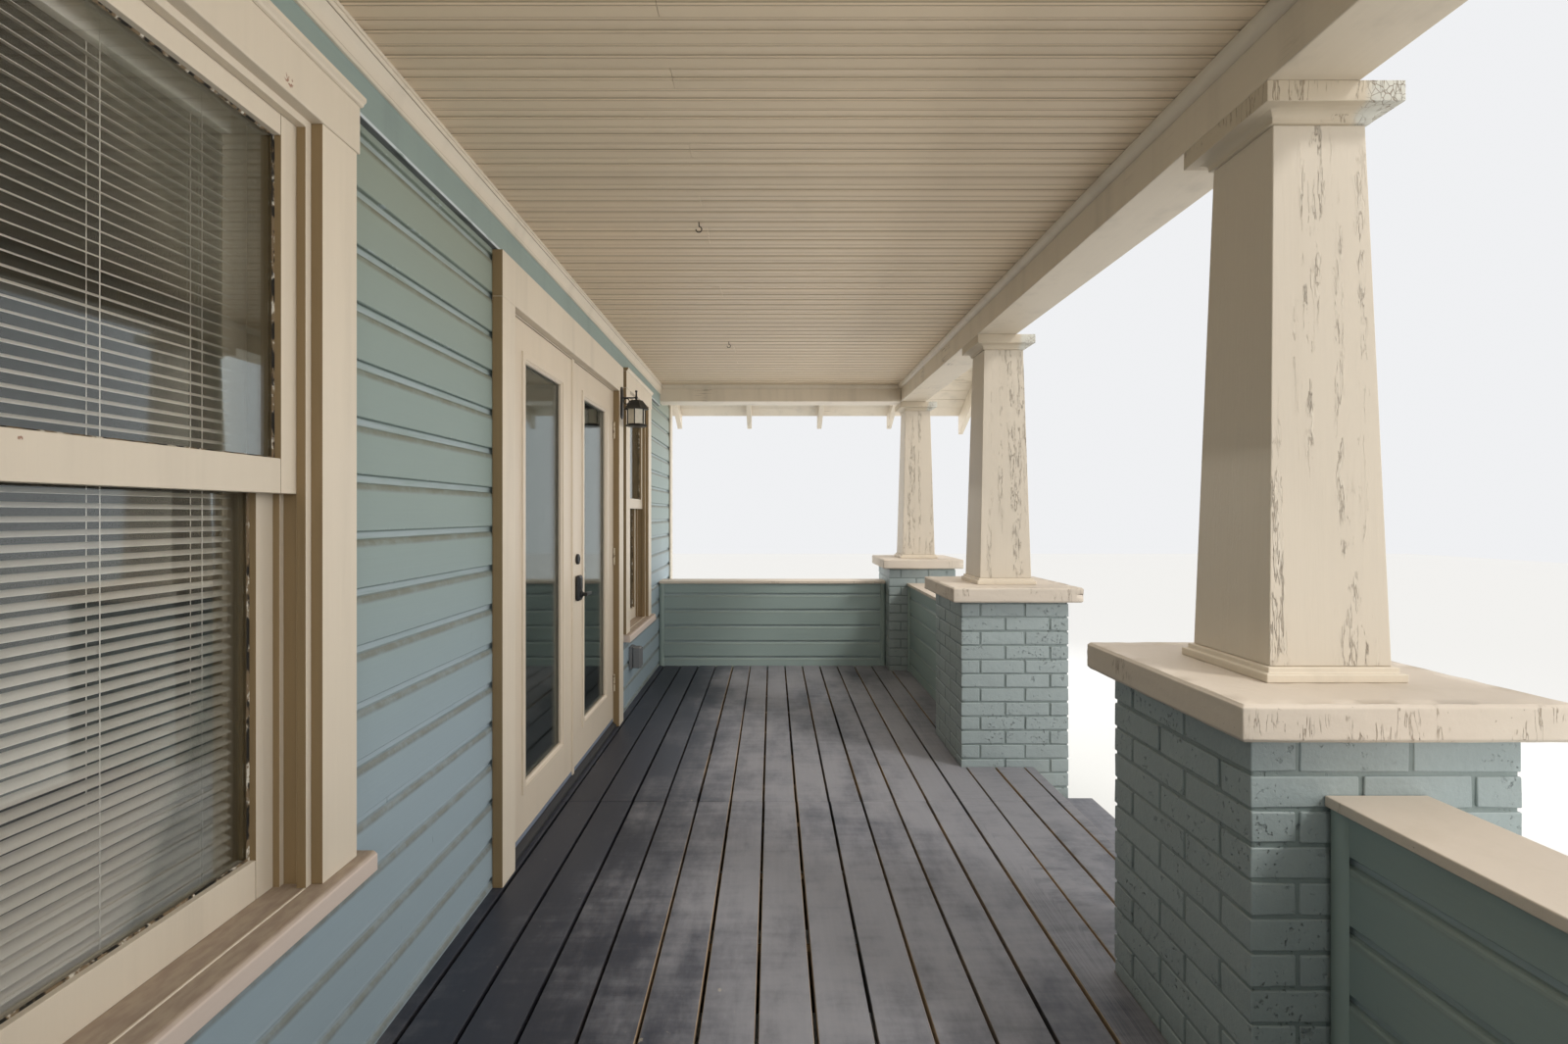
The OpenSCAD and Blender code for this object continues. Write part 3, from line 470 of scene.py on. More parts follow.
def paint_finish(name, colour, along, cracks=0.0, dirt=0.12, rough=0.5, tones=0.035, grain=0.0005,
                 grime=0.0, edges=None, grooves=None, worn=None, quirks=(), scars=()):
    """Old wood under many coats of paint: fine grain along the board, dirt in streaks, cracks that
    open to dark wood where the weather reaches, and grime on what faces up. Narrow edges that face
    along X may be given a brown of their own, a painted shade, and the quirks next to beads, given
    by their first middle and their pitch in X, are darkened as painted shade. A lower edge is
    chipped where its height is given as worn, and quirks at given heights are darkened as painted
    shade. A scar is a middle and a radius."""
    f = Finish(name)
    stretch = grain_stretch[along]
    cloud = f.noise(1.1, detail=5)
    fibre = f.noise(3.2, stretch, detail=5, rough=0.65, seed=9 * f.tone())
    streak = f.spots(0.48, 0.78, 1.0, (9, 9, 0.9))
    factor = 0.95 + 0.10 * cloud + tones * f.tone() - dirt * streak
    painted = f.shade(colour, factor + 0.06 * (fibre - 0.5))
    height = fibre
    if grime:
        lying = f.step(f.side(2), 0.25, 0.75) * f.spots(0.25, 0.55, 7)
        painted = f.coats(painted, (grime * lying, (104, 96, 76)))
    if cracks:
        split = f.noise(1.15, stretch, detail=7, rough=0.62, warp=0.25)
        reached = f.spots(0.62 - 0.3 * cracks, 0.80 - 0.3 * cracks, 2.6, (1, 1, 0.45), detail=3)
        crack = f.lines(split, 0.955, 0.985) * reached
        painted = f.coats(painted, (0.85 * crack, (96, 80, 62)))
        height = fibre - 2.0 * crack
    # The quirks next to the beads are darkened: painted shade.
    if grooves:
        first, pitch = grooves
        off = abs(f.fraction((f.along(0) - first) / pitch + 0.5) - 0.5)
        beside = 0.62 * f.step(off, 0.070, 0.088) * f.step(off, 0.128, 0.106)
        painted = f.coats(painted, (beside, (96, 82, 58)))
    # Faces that face along X take a brown: a painted shade on the narrow edges.
    if edges:
        edge_shade = f.shade(edges, 0.80 + 0.3 * cloud + 0.2 * (fibre - 0.5))
        painted = f.mix(f.step(abs(f.side(0)), 0.6, 0.9), painted, edge_shade)
    for middle, radius in scars:
        off = f.node("ShaderNodeVectorMath", {"operation": "DISTANCE"}, {0: f.place(), 1: middle},
                     output="Value")
        torn = f.step(off, radius, 0.6 * radius) * f.spots(0.50, 0.54, 120, detail=3)
        painted = f.coats(painted, (0.85 * torn, (140, 92, 68)))
    # Quirks at given heights are darkened: painted shade.
    for quirk in quirks:
        painted = f.coats(painted, (0.6 * f.step(abs(f.along(2) - quirk), 0.0026, 0.0010), (112, 96, 70)))
    if worn:
        chipped = f.step(f.along(2), worn + 0.012, worn + 0.009)
        chipped = chipped * f.spots(0.36, 0.46, 26, (0.3, 1, 1), detail=5)
        gap = f.step(f.along(2), worn + 0.003, worn + 0.0015)
        painted = f.coats(painted, (0.9 * chipped, (206, 214, 218)), (0.8 * gap, (44, 46, 44)))
    f.set(Base_Color=painted, Roughness=rough + 0.2 * (cloud - 0.5))
    return f.bump(height, grain)


sage = srgb(139, 155, 150)
cream = srgb(214, 202, 183)
# A brown for trim faces that face along X: painted shade.
edge_shade_brown = srgb(138, 116, 82)


def siding_paint(name, along, line, dirt=0.65, sky_reflection=0.8):
    """Sage paint on drop siding whose courses start at a line. It flakes at the lower edges. The recess
    above each cove is painted pale in streaks, a painted highlight of the sky, and a dark line under
    each lip is painted shade. A brown band at the foot of each cove is partly dirt and partly a
    painted shadow of the lip. Lower boards are painted bluer, a painted reflection of the sky, and
    upper boards are tinted warmer."""
    f = Finish(name)
    cloud = f.noise(1.1, detail=5)
    fibre = f.noise(3.2, grain_stretch[along], detail=5, rough=0.65, seed=9 * f.tone())
    fine = f.noise(24, detail=6, rough=0.7)
    up = f.fraction((f.along(2) - line) / exposure)
    cove_low = siding_face / exposure
    cove_high = cove_low + cove_r / exposure
    # The recess above each cove is painted pale in streaks: a painted highlight of the sky.
    recess = f.step(up, cove_high - 0.02, cove_high + 0.02) * f.step(up, 0.985, 0.955)
    highlight_streaks = f.spots(0.28, 0.6, 1.0, (4, 4, 70), detail=5, rough=0.65)
    # A brown band at the foot of each cove: partly dirt, partly a painted shadow of the lip above.
    cove = f.step(up, cove_low - 0.07, cove_low + 0.01) * f.step(up, cove_high + 0.01, cove_high - 0.03)
    # A dark line right under each lip: painted shade.
    lip_shade = f.step(up, 0.965, 0.995)
    flake = f.step(up, 0.05, 0.0) * f.step(fine, 0.56, 0.62)
    runs = f.spots(0.68, 0.74, 1.0, (64, 64, 8), detail=3) * f.spots(0.50, 0.64, 2.5)
    # Lower boards are painted bluer, a painted reflection of the sky; upper boards are tinted warmer.
    low = f.step(f.along(2), deck_z + 1.4, deck_z + 0.5)
    high = f.step(f.along(2), deck_z + 1.5, deck_z + 2.3)
    painted = f.coats(sage, (sky_reflection * low, (156, 173, 184)), (0.5 * high, (146, 148, 126)))
    painted = f.shade(painted, 0.95 + 0.09 * cloud + 0.035 * f.tone() + 0.05 * (fibre - 0.5))
    painted = f.coats(painted, (0.62 * recess * highlight_streaks, (168, 180, 186)),
                      (dirt * cove * (0.6 + 0.4 * f.step(fine, 0.35, 0.6)), (104, 98, 76)),
                      (0.25 * lip_shade, (62, 70, 72)), (0.7 * flake, (178, 190, 194)),
                      (0.45 * runs, (84, 94, 92)))
    f.set(Base_Color=painted, Roughness=0.42 + 0.16 * cloud)
    return f.bump(0.7 * fibre + 0.3 * fine - 1.2 * flake - 0.5 * runs, 0.0007)


house_half = siding_high[0]
line = deck_z + siding_line
boards = siding_places((-house_half - past, wall_y), 0, 2 * (house_half + past),
                       courses(line, deck_z, siding_high[2]), joints=(1.1, 5.6, 6.3, 6.9))
siding = repeat("house_siding_boards", [siding_model()], boards)
cut_to_node(siding, "house_siding", 1, (wall_y, wall_y - clear), (siding_high[1], siding_high[1] + clear))
deliver(siding, siding_paint("house_siding_paint", "X", line), "sage_paint", "house_siding")

# Frieze, crown and corner boards
# A flat sage board runs under the ceiling, with a small cream crown in the corner above it. Cream
# boards close the two ends of the siding.
cream_x_finish = paint_finish("cream_paint_lengthwise", cream, "X")
cream_z_finish = paint_finish("cream_paint_upright", cream, "Z")


def soft_copy(name, finish, slot, *nodes, width=0.0015, segments=2):
    """Delivers a copy of CAD nodes with softened edges in their place."""
    return deliver(soften(copy_of(name, *nodes), width, segments), finish, slot, *nodes)


frieze_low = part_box("frieze_board")[0][2]
frieze_paint = paint_finish("frieze_paint", sage, "X", grime=0.2, worn=frieze_low)
soft_copy("frieze_board_painted", frieze_paint, "sage_paint", "frieze_board")
crown_low, crown_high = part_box("crown_moulding")
crown_steps = [(0, 75), (6, 75), (8, 73), (8, 66), (5.5, 64), (6, 61), (8, 52), (11, 43), (15, 34),
               (19, 28), (20, 25), (16, 23.5), (16, 21.5), (20, 20.5), (22, 17), (22, 13), (20, 10.5),
               (20.5, 9.5), (24, 9), (24, 0), (0, 0)]
crown_outline = [(crown_high[1] - out / 1000, crown_high[2] - down / 1000) for out, down in crown_steps]
crown = moulding("crown_moulding_painted", crown_outline, "X", crown_low[0], crown_high[0])
# The crown's two quirks are darkened as painted shade.
crown_quirks = (crown_high[2] - 0.0645, crown_high[2] - 0.0225)
crown_paint = paint_finish("crown_paint", srgb(216, 205, 187), "X", quirks=crown_quirks)
deliver(smooth(crown, 35), crown_paint, "cream_paint", "crown_moulding")
soft_copy("corner_boards_painted", cream_z_finish, "cream_paint", "corner_boards")

# Window casings
# Flat inch-and-a-half boards nailed over the siding: two sides, and a taller head that stands a
# little past them, under a small cap moulding.
casing_w = 0.115
cap_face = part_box("window_casings")[0][1]
cap_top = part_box("window_casings")[1][2]
casing_face = cap_face + 0.015
sill_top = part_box("window_sills")[1][2]
window_half = 0.325
upper_low, upper_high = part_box("upper_sashes")
lower_low, lower_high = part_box("lower_sashes")
window_top = upper_high[2]
head_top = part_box("frieze_board")[0][2]
near_window = upper_low[0] + window_half
far_window = upper_high[0] - window_half


def unit_block():
    bpy.ops.mesh.primitive_cube_add(size=1, location=(0, 0, 0))
    return bpy.context.object


def span_place(low, high, turn=0.0, lift=0.0):
    """The matrix that makes a unit block fill a box, turned a little in plan and lifted."""
    low, high = Vector(low), Vector(high)
    spot = Matrix.Translation((low + high) / 2 + Vector((0, 0, lift)))
    return spot @ Matrix.Rotation(math.radians(turn), 4, "Z") @ Matrix.Diagonal((*(high - low), 1))


def boards_of(name, boxes, width=0.0015, segments=2):
    """Sawn boards as separate blocks, each from one corner to another, with softened edges."""
    places = [(span_place(low, high), draw.uniform(-1, 1)) for low, high in boxes]
    return soften(repeat(name, [unit_block()], places), width, segments)


def both_sides(low, high):
    """A box left of x = 0 and its mirror image on the right."""
    return [(low, high), ((-high[0], *low[1:]), (-low[0], *high[1:]))]


def at_windows(name, parts, **settings):
    """Boards given about a window's middle, for both windows."""
    boxes = [((x + low[0], *low[1:]), (x + high[0], *high[1:]))
             for x in (near_window, far_window) for low, high in parts]
    return boards_of(name, boxes, **settings)


casing_out = window_half + casing_w
head_out = casing_out + 0.007
cap_out = casing_out + 0.010
casings = at_windows("window_casing_boards", [
    *both_sides((-casing_out, casing_face, sill_top), (-window_half, wall_y, window_top)),
    ((-head_out, casing_face - 0.003, window_top), (head_out, wall_y, head_top))], width=0.0022)
cap_line = [(0.011, 0), (0.007, 0.002), (0.005, 0.007), (0.002, 0.010), (0, 0.012)]
cap_back = wall_y - 0.018
cap_outline = [(cap_back, head_top), *((cap_face + a, head_top + b) for a, b in cap_line),
               (cap_face, cap_top), (cap_back, cap_top)]
caps = [moulding("cap", cap_outline, "X", x - cap_out, x + cap_out) for x in (near_window, far_window)]
casings = join("window_casing_boards", casings, *caps)
scar = ((near_window + 0.2245, casing_face - 0.003, head_top - 0.082), 0.014)
nail_hole = ((near_window - 0.192, upper_low[1], lower_high[2] - 0.012), 0.004)
# The trim's faces along X are painted brown, a painted shade in the window and door reveals.
trim_paint = paint_finish("trim_paint", cream, "Z", edges=edge_shade_brown, scars=(scar, nail_hole))
deliver(casings, trim_paint, "cream_paint", "window_casings")

# Window sills
# Thick sills with horns past the casings. Their tops are brown with dust and worn paint, and a
# ridge of old paint stands where the blind stops meet them.
sill_paint = Finish("sill_paint")
sill_cloud = sill_paint.noise(3, (0.5, 1, 1), detail=5)
sill_grit = sill_paint.noise(60, (0.4, 1, 1), detail=5)
dust = sill_paint.coats(srgb(150, 132, 116), (sill_paint.step(sill_grit, 0.35, 0.65), (168, 152, 132)))
dust = sill_paint.shade(dust, 0.8 + 0.4 * sill_cloud)
clean = sill_paint.shade(srgb(208, 192, 180), 0.92 + 0.14 * sill_cloud)
lying = sill_paint.step(sill_paint.side(2), 0.5, 0.85)
sill_paint.set(Base_Color=sill_paint.mix(0.9 * lying, clean, dust), Roughness=0.6).bump(sill_grit, 0.0008)
soft_copy("window_sills_painted", sill_paint, "cream_paint", "window_sills", width=0.003, segments=3)
stop_face = wall_y - 0.013
ridge_half = window_half - 0.016
ridges = at_windows("sill_paint_ridges", [
    ((-ridge_half, stop_face, sill_top - 0.001), (ridge_half, stop_face + 0.005, sill_top + 0.0025))])
modify(ridges, "SUBSURF", subdivision_type="SIMPLE", levels=3, render_levels=3)
deliver(ridges, trim_paint, "cream_paint")

# Window frames
# Jambs and a head of planed boards. Narrow blind stops hold the upper sash in and parting stops
# keep the sashes apart, so that dark steps show between casing, sash and glass; the faces of these
# steps that face along X are painted brown, a painted shade.
soft_copy("window_frames_painted", trim_paint, "cream_paint", "window_frames", width=0.001, segments=1)
parting_in = window_half - 0.012
parting_top = window_top - 0.012
parting_low = upper_high[1] - 0.0005
parting_high = lower_low[1] + 0.0005
parting_stops = at_windows("parting_stops", [
    *both_sides((-window_half - 0.001, parting_low, sill_top), (-parting_in, parting_high, window_top)),
    ((-parting_in, parting_low, parting_top), (parting_in, parting_high, window_top + 0.001))],
    width=0.001, segments=1)
deliver(parting_stops, trim_paint, "cream_paint")

# Sashes
# Each sash is four rails and stiles of pine, tenoned together. The glass sits in a rebate behind a
# sloped bead of putty, whose paint has cracked off along the edge.
sash_t = 0.036
glass_t = 0.003
sash_half = window_half - 0.001
glass_half = window_half - 0.056
rails = {"upper": (0.068, 0.056), "lower": (0.078, 0.045)}
putty_line = [(0.0005, 0.0125), (0.0005, 0.0162), (-0.0035, 0.0162), (-0.0025, 0.0145)]
putty_paint = Finish("cracked_putty")
crumb = putty_paint.noise(70, (1, 1, 0.45), detail=5, rough=0.7)
gap = putty_paint.spots(0.48, 0.54, 48, (1, 1, 0.4))
lost = putty_paint.coats(srgb(118, 100, 76), (putty_paint.step(crumb, 0.52, 0.60), (206, 200, 186)))
putty_paint.set(Base_Color=putty_paint.coats(lost, (gap, (30, 26, 20))), Roughness=0.8)
putty_paint.bump(crumb - 0.8 * gap, 0.0015)


def mitred_frame(name, outline, low, high):
    """Four mitred bars round an upright opening that faces -Y. The outline's first number is how
    far out from the opening's edge a point is, and its second is its place along Y."""
    bars = []
    for edge, way in ((low[0], -1), (high[0], 1)):
        across = [(edge + way * out, y) for out, y in outline]
        bars.append(moulding(name, across, "Z", low[1], high[1], [out for out, y in outline]))
    for edge, way in ((low[1], -1), (high[1], 1)):
        across = [(y, edge + way * out) for out, y in outline]
        bars.append(moulding(name, across, "X", low[0], high[0], [out for out, y in outline]))
    return join(name, *bars)


glass_boxes = []
for which, (low_rail, high_rail) in rails.items():
    low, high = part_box(which + "_sashes")
    face, bottom, top = low[1], low[2], high[2]
    back = face + sash_t - 0.001
    rail_face = face + 0.0002
    glass_low = bottom + low_rail
    glass_high = top - high_rail
    sash_boards = at_windows(which + "_sash_boards", [
        *both_sides((-sash_half, face, bottom), (-glass_half, back, top)),
        ((-glass_half, rail_face, bottom), (glass_half, back, glass_low)),
        ((-glass_half, rail_face, glass_high), (glass_half, back, top))], width=0.0018)
    deliver(sash_boards, trim_paint, "cream_paint", which + "_sashes")
    outline = [(out, face + y) for out, y in putty_line]
    rings = [mitred_frame("putty", outline, (x - glass_half, glass_low), (x + glass_half, glass_high))
             for x in (near_window, far_window)]
    putty = join(which + "_sash_putty", *rings)
    modify(putty, "SUBSURF", subdivision_type="SIMPLE", levels=3, render_levels=3)
    deliver(putty, putty_paint, "cream_paint")
    front = face + (sash_t - glass_t) / 2
    glass_boxes += [((x - glass_half, front, glass_low), (x + glass_half, front + glass_t, glass_high))
                    for x in (near_window, far_window)]


def glass_finish(name, see_through, tint):
    """Clear glass: a mirror that is nearly invisible from the front and strong at a slant."""
    f = Finish(name)
    slant = f.node("ShaderNodeLayerWeight", sockets={"Blend": 0.22}, output="Fresnel")
    smear = f.spots(0.40, 0.85, 2.4, (1, 1, 0.6), detail=5)
    f.set(Base_Color=tint, Metallic=1.0, Roughness=0.015 + 0.07 * smear)
    return f.set(Alpha=f.step(slant, -0.05, 0.75) * (1 - see_through) + see_through * 0.12 + 0.05 * smear)


panes = boards_of("window_glass_sheets", glass_boxes, width=0.0005, segments=1)
deliver(panes, glass_finish("window_glass", 0.35, srgb(226, 232, 230)), "clear_glass", "window_panes")

# Window blinds
# Inch-wide vinyl slats, slightly crowned and open, strung on ladder cords between a head rail and
# a bottom rail. A dark sheet right behind them is painted shade, standing for the unlit rooms.
blind_low, blind_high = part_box("window_blinds")
blind_half = near_window - blind_low[0]
blind_y = (blind_low[1] + blind_high[1]) / 2
slat_pitch = 0.0205
slat_w = 0.0225
slat_t = 0.0008
slat_tilt = 22
foot_low = blind_low[2]
first_slat = foot_low + 0.022
rail_low = blind_high[2] - 0.060
foot_half = 0.009
foot_t = 0.012
slat_line = [(-0.5, 0), (-0.25, 0.06), (0, 0.08), (0.25, 0.06), (0.5, 0)]
slat_outline = [(slat_w * a, slat_w * b) for a, b in slat_line]
slat_outline += [(slat_w * a, slat_w * b - slat_t) for a, b in reversed(slat_line)]
slat = moulding("slat", slat_outline, "X", -blind_half, blind_half)
places = []
for x in (near_window, far_window):
    z = first_slat
    while z < rail_low - 0.012:
        tilt = Matrix.Rotation(math.radians(slat_tilt + draw.uniform(-2.5, 2.5)), 4, "X")
        sway = Matrix.Rotation(math.radians(draw.uniform(-0.12, 0.12)), 4, "Y")
        places.append((Matrix.Translation((x, blind_y, z)) @ sway @ tilt, draw.uniform(-1, 1)))
        z += slat_pitch
slats = repeat("blind_slats", [slat], places)
blind_rails = at_windows("blind_rails", [
    ((-blind_half, blind_low[1], rail_low), (blind_half, blind_high[1], blind_high[2] - 0.001)),
    ((-blind_half, blind_y - foot_half, foot_low), (blind_half, blind_y + foot_half, foot_low + foot_t))],
    width=0.002)
cord_xs = (-0.19, 0, 0.19)
cord_half = 0.0008
cord_t = 0.0012
cord_low = foot_low + 0.01
cord_high = blind_high[2] - 0.02
cords = []
for x in cord_xs:
    for y in (blind_low[1] - cord_t, blind_high[1]):
        cords.append(((x - cord_half, y, cord_low), (x + cord_half, y + cord_t, cord_high)))
blind_cords = at_windows("blind_cords", cords, width=0.0003, segments=1)
blinds = smooth(join("window_blind_slats", slats, blind_rails, blind_cords), 40, keep_flat=False)
vinyl = Finish("blind_vinyl")
dust = vinyl.step(vinyl.side(2), 0.3, 0.9) * (0.4 + 0.6 * vinyl.noise(9))
slat_colour = vinyl.shade(srgb(242, 237, 226), 0.97 + 0.04 * vinyl.tone())
vinyl.set(Base_Color=vinyl.coats(slat_colour, (0.3 * dust, (168, 156, 136))), Roughness=0.42 + 0.25 * dust)
vinyl.bump(vinyl.noise(40), 0.0002)
deliver(blinds, vinyl, "blind_vinyl", "window_blinds")
stop_in = blind_half + 0.004
stop_y = blind_high[1] + 0.001
inner_stops = at_windows("inner_window_stops", both_sides(
    (-window_half, stop_y, sill_top), (-stop_in, stop_y + 0.0025, window_top)), width=0.0006, segments=1)
deliver(inner_stops, trim_paint, "cream_paint")
# A dark sheet behind the blinds: painted shade standing for the unlit rooms.
room_shade_finish = Finish("room_shade_sheet").set(Base_Color=srgb(46, 44, 39), Roughness=0.9)
sheet_y = blind_high[1] + 0.004
rooms = at_windows("window_shade_sheets", [
    ((-window_half, sheet_y, sill_top), (window_half, sheet_y + 0.002, window_top))],
    width=0.0003, segments=1)
deliver(rooms, room_shade_finish, "wall_panel")

# Door casing and frame
# Flat boards like those of the windows, their edges painted brown as a painted shade. Behind them a
# rebated frame of pine stands in the wall, with stops for the leaves to close on.
door_low, door_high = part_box("door_casing")
leaf_low, leaf_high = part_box("near_door_leaf")
door_face = door_low[1]
door_head = leaf_high[2] + 0.008
casing = boards_of("door_casing_boards", [
    ((door_low[0], door_face, deck_z), (door_low[0] + casing_w, wall_y, door_head)),
    ((door_high[0] - casing_w, door_face, deck_z), (door_high[0], wall_y, door_head)),
    ((door_low[0], door_face, door_head), (door_high[0], wall_y, head_top))], width=0.0022)
deliver(casing, trim_paint, "cream_paint", "door_casing")
soft_copy("door_frame_boards", trim_paint, "cream_paint", "door_frame", width=0.0012)

# Door threshold
# An aluminium sill across both leaves, fluted so that wet shoes grip. It has gone nearly black
# with dirt, and only the tops of the flutes are rubbed.
sill_low, sill_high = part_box("door_threshold")
tread = sill_high[2]
jamb_gap = 0.005
flute_line = [(0, 0), (0.004, 0), (0.005, 0.002), (0.008, 0.002)]
flute_pitch = 0.009
flutes_end = sill_high[1] - 0.02
flutes = []
y = wall_y + 0.012
while y < flutes_end:
    flutes += [(y + along, tread - down) for along, down in flute_line]
    y += flute_pitch
body_outline = [(wall_y, deck_z), (wall_y, tread), *flutes, (sill_high[1], tread), (sill_high[1], deck_z)]
nose_outline = [(sill_low[1], deck_z), (sill_low[1], deck_z + 0.013), (sill_low[1] + 0.003, deck_z + 0.0165),
                (wall_y, tread - 0.001), (wall_y, deck_z)]
nose = moulding("nose", nose_outline, "X", leaf_low[0] - jamb_gap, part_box("far_door_leaf")[1][0] + jamb_gap)
threshold = join("door_threshold_sill", moulding("sill", body_outline, "X", sill_low[0], sill_high[0]), nose)
mill = Finish("mill_aluminium")
scratch = mill.noise(6, (1, 40, 40), detail=6, rough=0.7)
stain = mill.spots(0.45, 0.7, 5, detail=6)
mill.set(Base_Color=mill.coats(srgb(66, 66, 68), (0.6 * stain, (48, 44, 40))), Metallic=0.5 - 0.3 * stain,
         Roughness=0.5 + 0.3 * scratch).bump(scratch, 0.0003)
deliver(threshold, mill, "threshold_metal", "door_threshold")

# Door hinges
# Three plain butt hinges to a leaf, their barrels painted over with the frame and rubbed bare in
# patches.
hinge_paint = Finish("painted_hinges")
rubbed = hinge_paint.spots(0.5, 0.62, 60, detail=5)
hinge_paint.set(Base_Color=hinge_paint.coats(srgb(196, 182, 158), (0.8 * rubbed, (112, 92, 68))),
                Metallic=0.6 * rubbed, Roughness=0.5).bump(rubbed, -0.0004)
soft_copy("door_hinge_barrels", hinge_paint, "steel", "door_hinges", width=0.0008, segments=1)

# Door leaves
# Full-lite doors with smooth painted faces. A moulded frame holds the glass on both faces, and the
# near leaf carries the strip that covers the meeting joint.
door_paint = paint_finish("door_paint", srgb(211, 197, 177), "Z", dirt=0.06, rough=0.4, grain=0.00022)
sweep_paint = Finish("door_sweep").set(Base_Color=srgb(116, 124, 138), Roughness=0.6)
sweep_paint.bump(sweep_paint.noise(80), 0.0004)
spacer_metal = Finish("glass_spacer").set(Base_Color=srgb(150, 150, 148), Roughness=0.4, Metallic=0.8)
door_glass = glass_finish("door_glass", 0.20, srgb(222, 229, 226))
# The inner sheet of each lite is dark glass: a painted shade standing for the unlit rooms behind the doors.
room_shade_glass = Finish("room_shade_inner_glass")
room_shade_glass.set(Base_Color=srgb(44, 48, 48), Roughness=0.12 + 0.05 * room_shade_glass.noise(3), Alpha=0.88)
sheet_t = 0.004
spacer_w = 0.011
leaf_middle = wall_y + 0.0225
lip = [(0.001, 0.0045), (-0.003, 0.0035), (-0.007, 0.0075), (-0.010, 0.0105), (-0.010, 0.0205),
       (0.001, 0.0205)]
front_lip = [(out, leaf_low[1] + y) for out, y in lip]
rear_lip = [(out, 2 * leaf_middle - y) for out, y in front_lip]
for leaf in ("near", "far"):
    body = leaf + "_door"
    low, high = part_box(body + "_pane")
    opening = ((low[0], low[2]), (high[0], high[2]))
    slab = soften(copy_of(leaf + "_door_slab", body + "_leaf"), 0.0028, 3)
    rings = [mitred_frame("lip", outline, *opening) for outline in (front_lip, rear_lip)]
    slab = join(leaf + "_door_slab", slab, *rings)
    deliver(slab, door_paint, "cream_paint", body + "_leaf", body=body)
    edge_low, edge_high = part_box(body + "_leaf")
    sweep = boards_of(leaf + "_door_sweep", [
        ((edge_low[0] + 0.004, wall_y - 0.0022, edge_low[2] + 0.001),
         (edge_high[0] - 0.004, wall_y + 0.001, edge_low[2] + 0.019))], width=0.0008)
    deliver(sweep, sweep_paint, "grey_plastic", body=body)
    outer_y = low[1] + sheet_t
    inner_y = high[1] - sheet_t
    outer = boards_of(leaf + "_door_glass", [(low, (high[0], outer_y, high[2]))], width=0.0004, segments=1)
    deliver(outer, door_glass, "clear_glass", body + "_pane", body=body)
    inner = boards_of(leaf + "_door_inner_glass", [((low[0], inner_y, low[2]), high)], width=0.0004,
                      segments=1)
    deliver(inner, room_shade_glass, "clear_glass", body=body)
    spacer_outline = [(0, outer_y), (0, inner_y), (-spacer_w, inner_y), (-spacer_w, outer_y)]
    spacer = mitred_frame(leaf + "_glass_spacer", spacer_outline, *opening)
    deliver(spacer, spacer_metal, "steel", body=body)


# Door lock
# A keypad lever lock on the far leaf with a dead lock above it. Cast zinc in black enamel, worn
# a little bright on the lever and the keys.
def turning(name, sides, centre, rings, axis="Z"):
    """A many-sided turning about an axis: each ring is its half width across the flats and its
    place along the axis."""
    bpy.ops.mesh.primitive_circle_add(vertices=sides, radius=1, fill_type="NGON", location=(0, 0, 0))
    piece = bpy.context.object
    piece.name = name
    bpy.ops.object.mode_set(mode="EDIT")
    bpy.ops.mesh.select_all(action="SELECT")
    for ring in rings[1:]:
        bpy.ops.mesh.extrude_region_move(TRANSFORM_OT_translate={"value": (0, 0, 1)})
    bpy.ops.object.mode_set(mode="OBJECT")
    for number, vertex in enumerate(piece.data.vertices):
        half, place = rings[number // sides]
        angle = 2 * math.pi * (number % sides + 0.5) / sides
        reach = half / math.cos(math.pi / sides)
        a, b = reach * math.cos(angle), reach * math.sin(angle)
        spot = {"X": (place, a, b), "Y": (b, place, a), "Z": (a, b, place)}[axis]
        vertex.co = Vector(spot) + Vector(centre)
    return edit(piece, (bpy.ops.mesh.remove_doubles, {"threshold": 0.00001}),
                (bpy.ops.mesh.normals_make_consistent, {"inside": False}))


def enamel_finish(name, worn_at=0.66):
    f = Finish(name)
    fleck = f.spots(worn_at, worn_at + 0.08, 120)
    dust = f.step(f.side(2), 0.4, 1.0) * (0.3 + 0.7 * f.noise(30))
    colour = f.coats(srgb(24, 24, 25), (0.6 * fleck, (104, 98, 90)), (0.35 * dust, (120, 114, 102)))
    return f.set(Base_Color=colour, Roughness=0.34 + 0.3 * dust).bump(f.noise(160), 0.0002)


def near_lock(name, half, out, low, high, **edges):
    """A block on the lock's middle line: its half width, how far its front and its back stand out
    from the leaf's face, and its two heights."""
    front, back = out
    block = ((lock_x - half, wall_y - front, low), (lock_x + half, wall_y - back, high))
    return boards_of(name, [block], **edges)


lock_low, lock_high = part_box("door_lock")
lock_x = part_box("far_door_leaf")[0][0] + 0.060
lock_z = deck_z + 0.910
dead_z = deck_z + 1.050
plate_out = 0.022
plate_y = wall_y - plate_out
plate = near_lock("plate", 0.031, (plate_out, 0), lock_z - 0.062, lock_z + 0.062, width=0.011, segments=5)
panel = near_lock("panel", 0.020, (plate_out + 0.002, plate_out - 0.004), lock_z - 0.006, lock_z + 0.050,
                  width=0.0018, segments=3)
key_half, key_tall, key_out = 0.0062, 0.0068, 0.0036
key_pitch = 0.010
key_boxes = []
for row in range(5):
    for x in (lock_x - 0.009, lock_x + 0.009):
        z = lock_z + 0.042 - row * key_pitch
        key_boxes.append(((x - key_half, plate_y - key_out, z - key_tall / 2),
                          (x + key_half, plate_y, z + key_tall / 2)))
keys = boards_of("keys", key_boxes, width=0.0012)
lever_y = lock_low[1] + 0.008
lever_z = lock_z - 0.030
lever_end = lock_high[0]
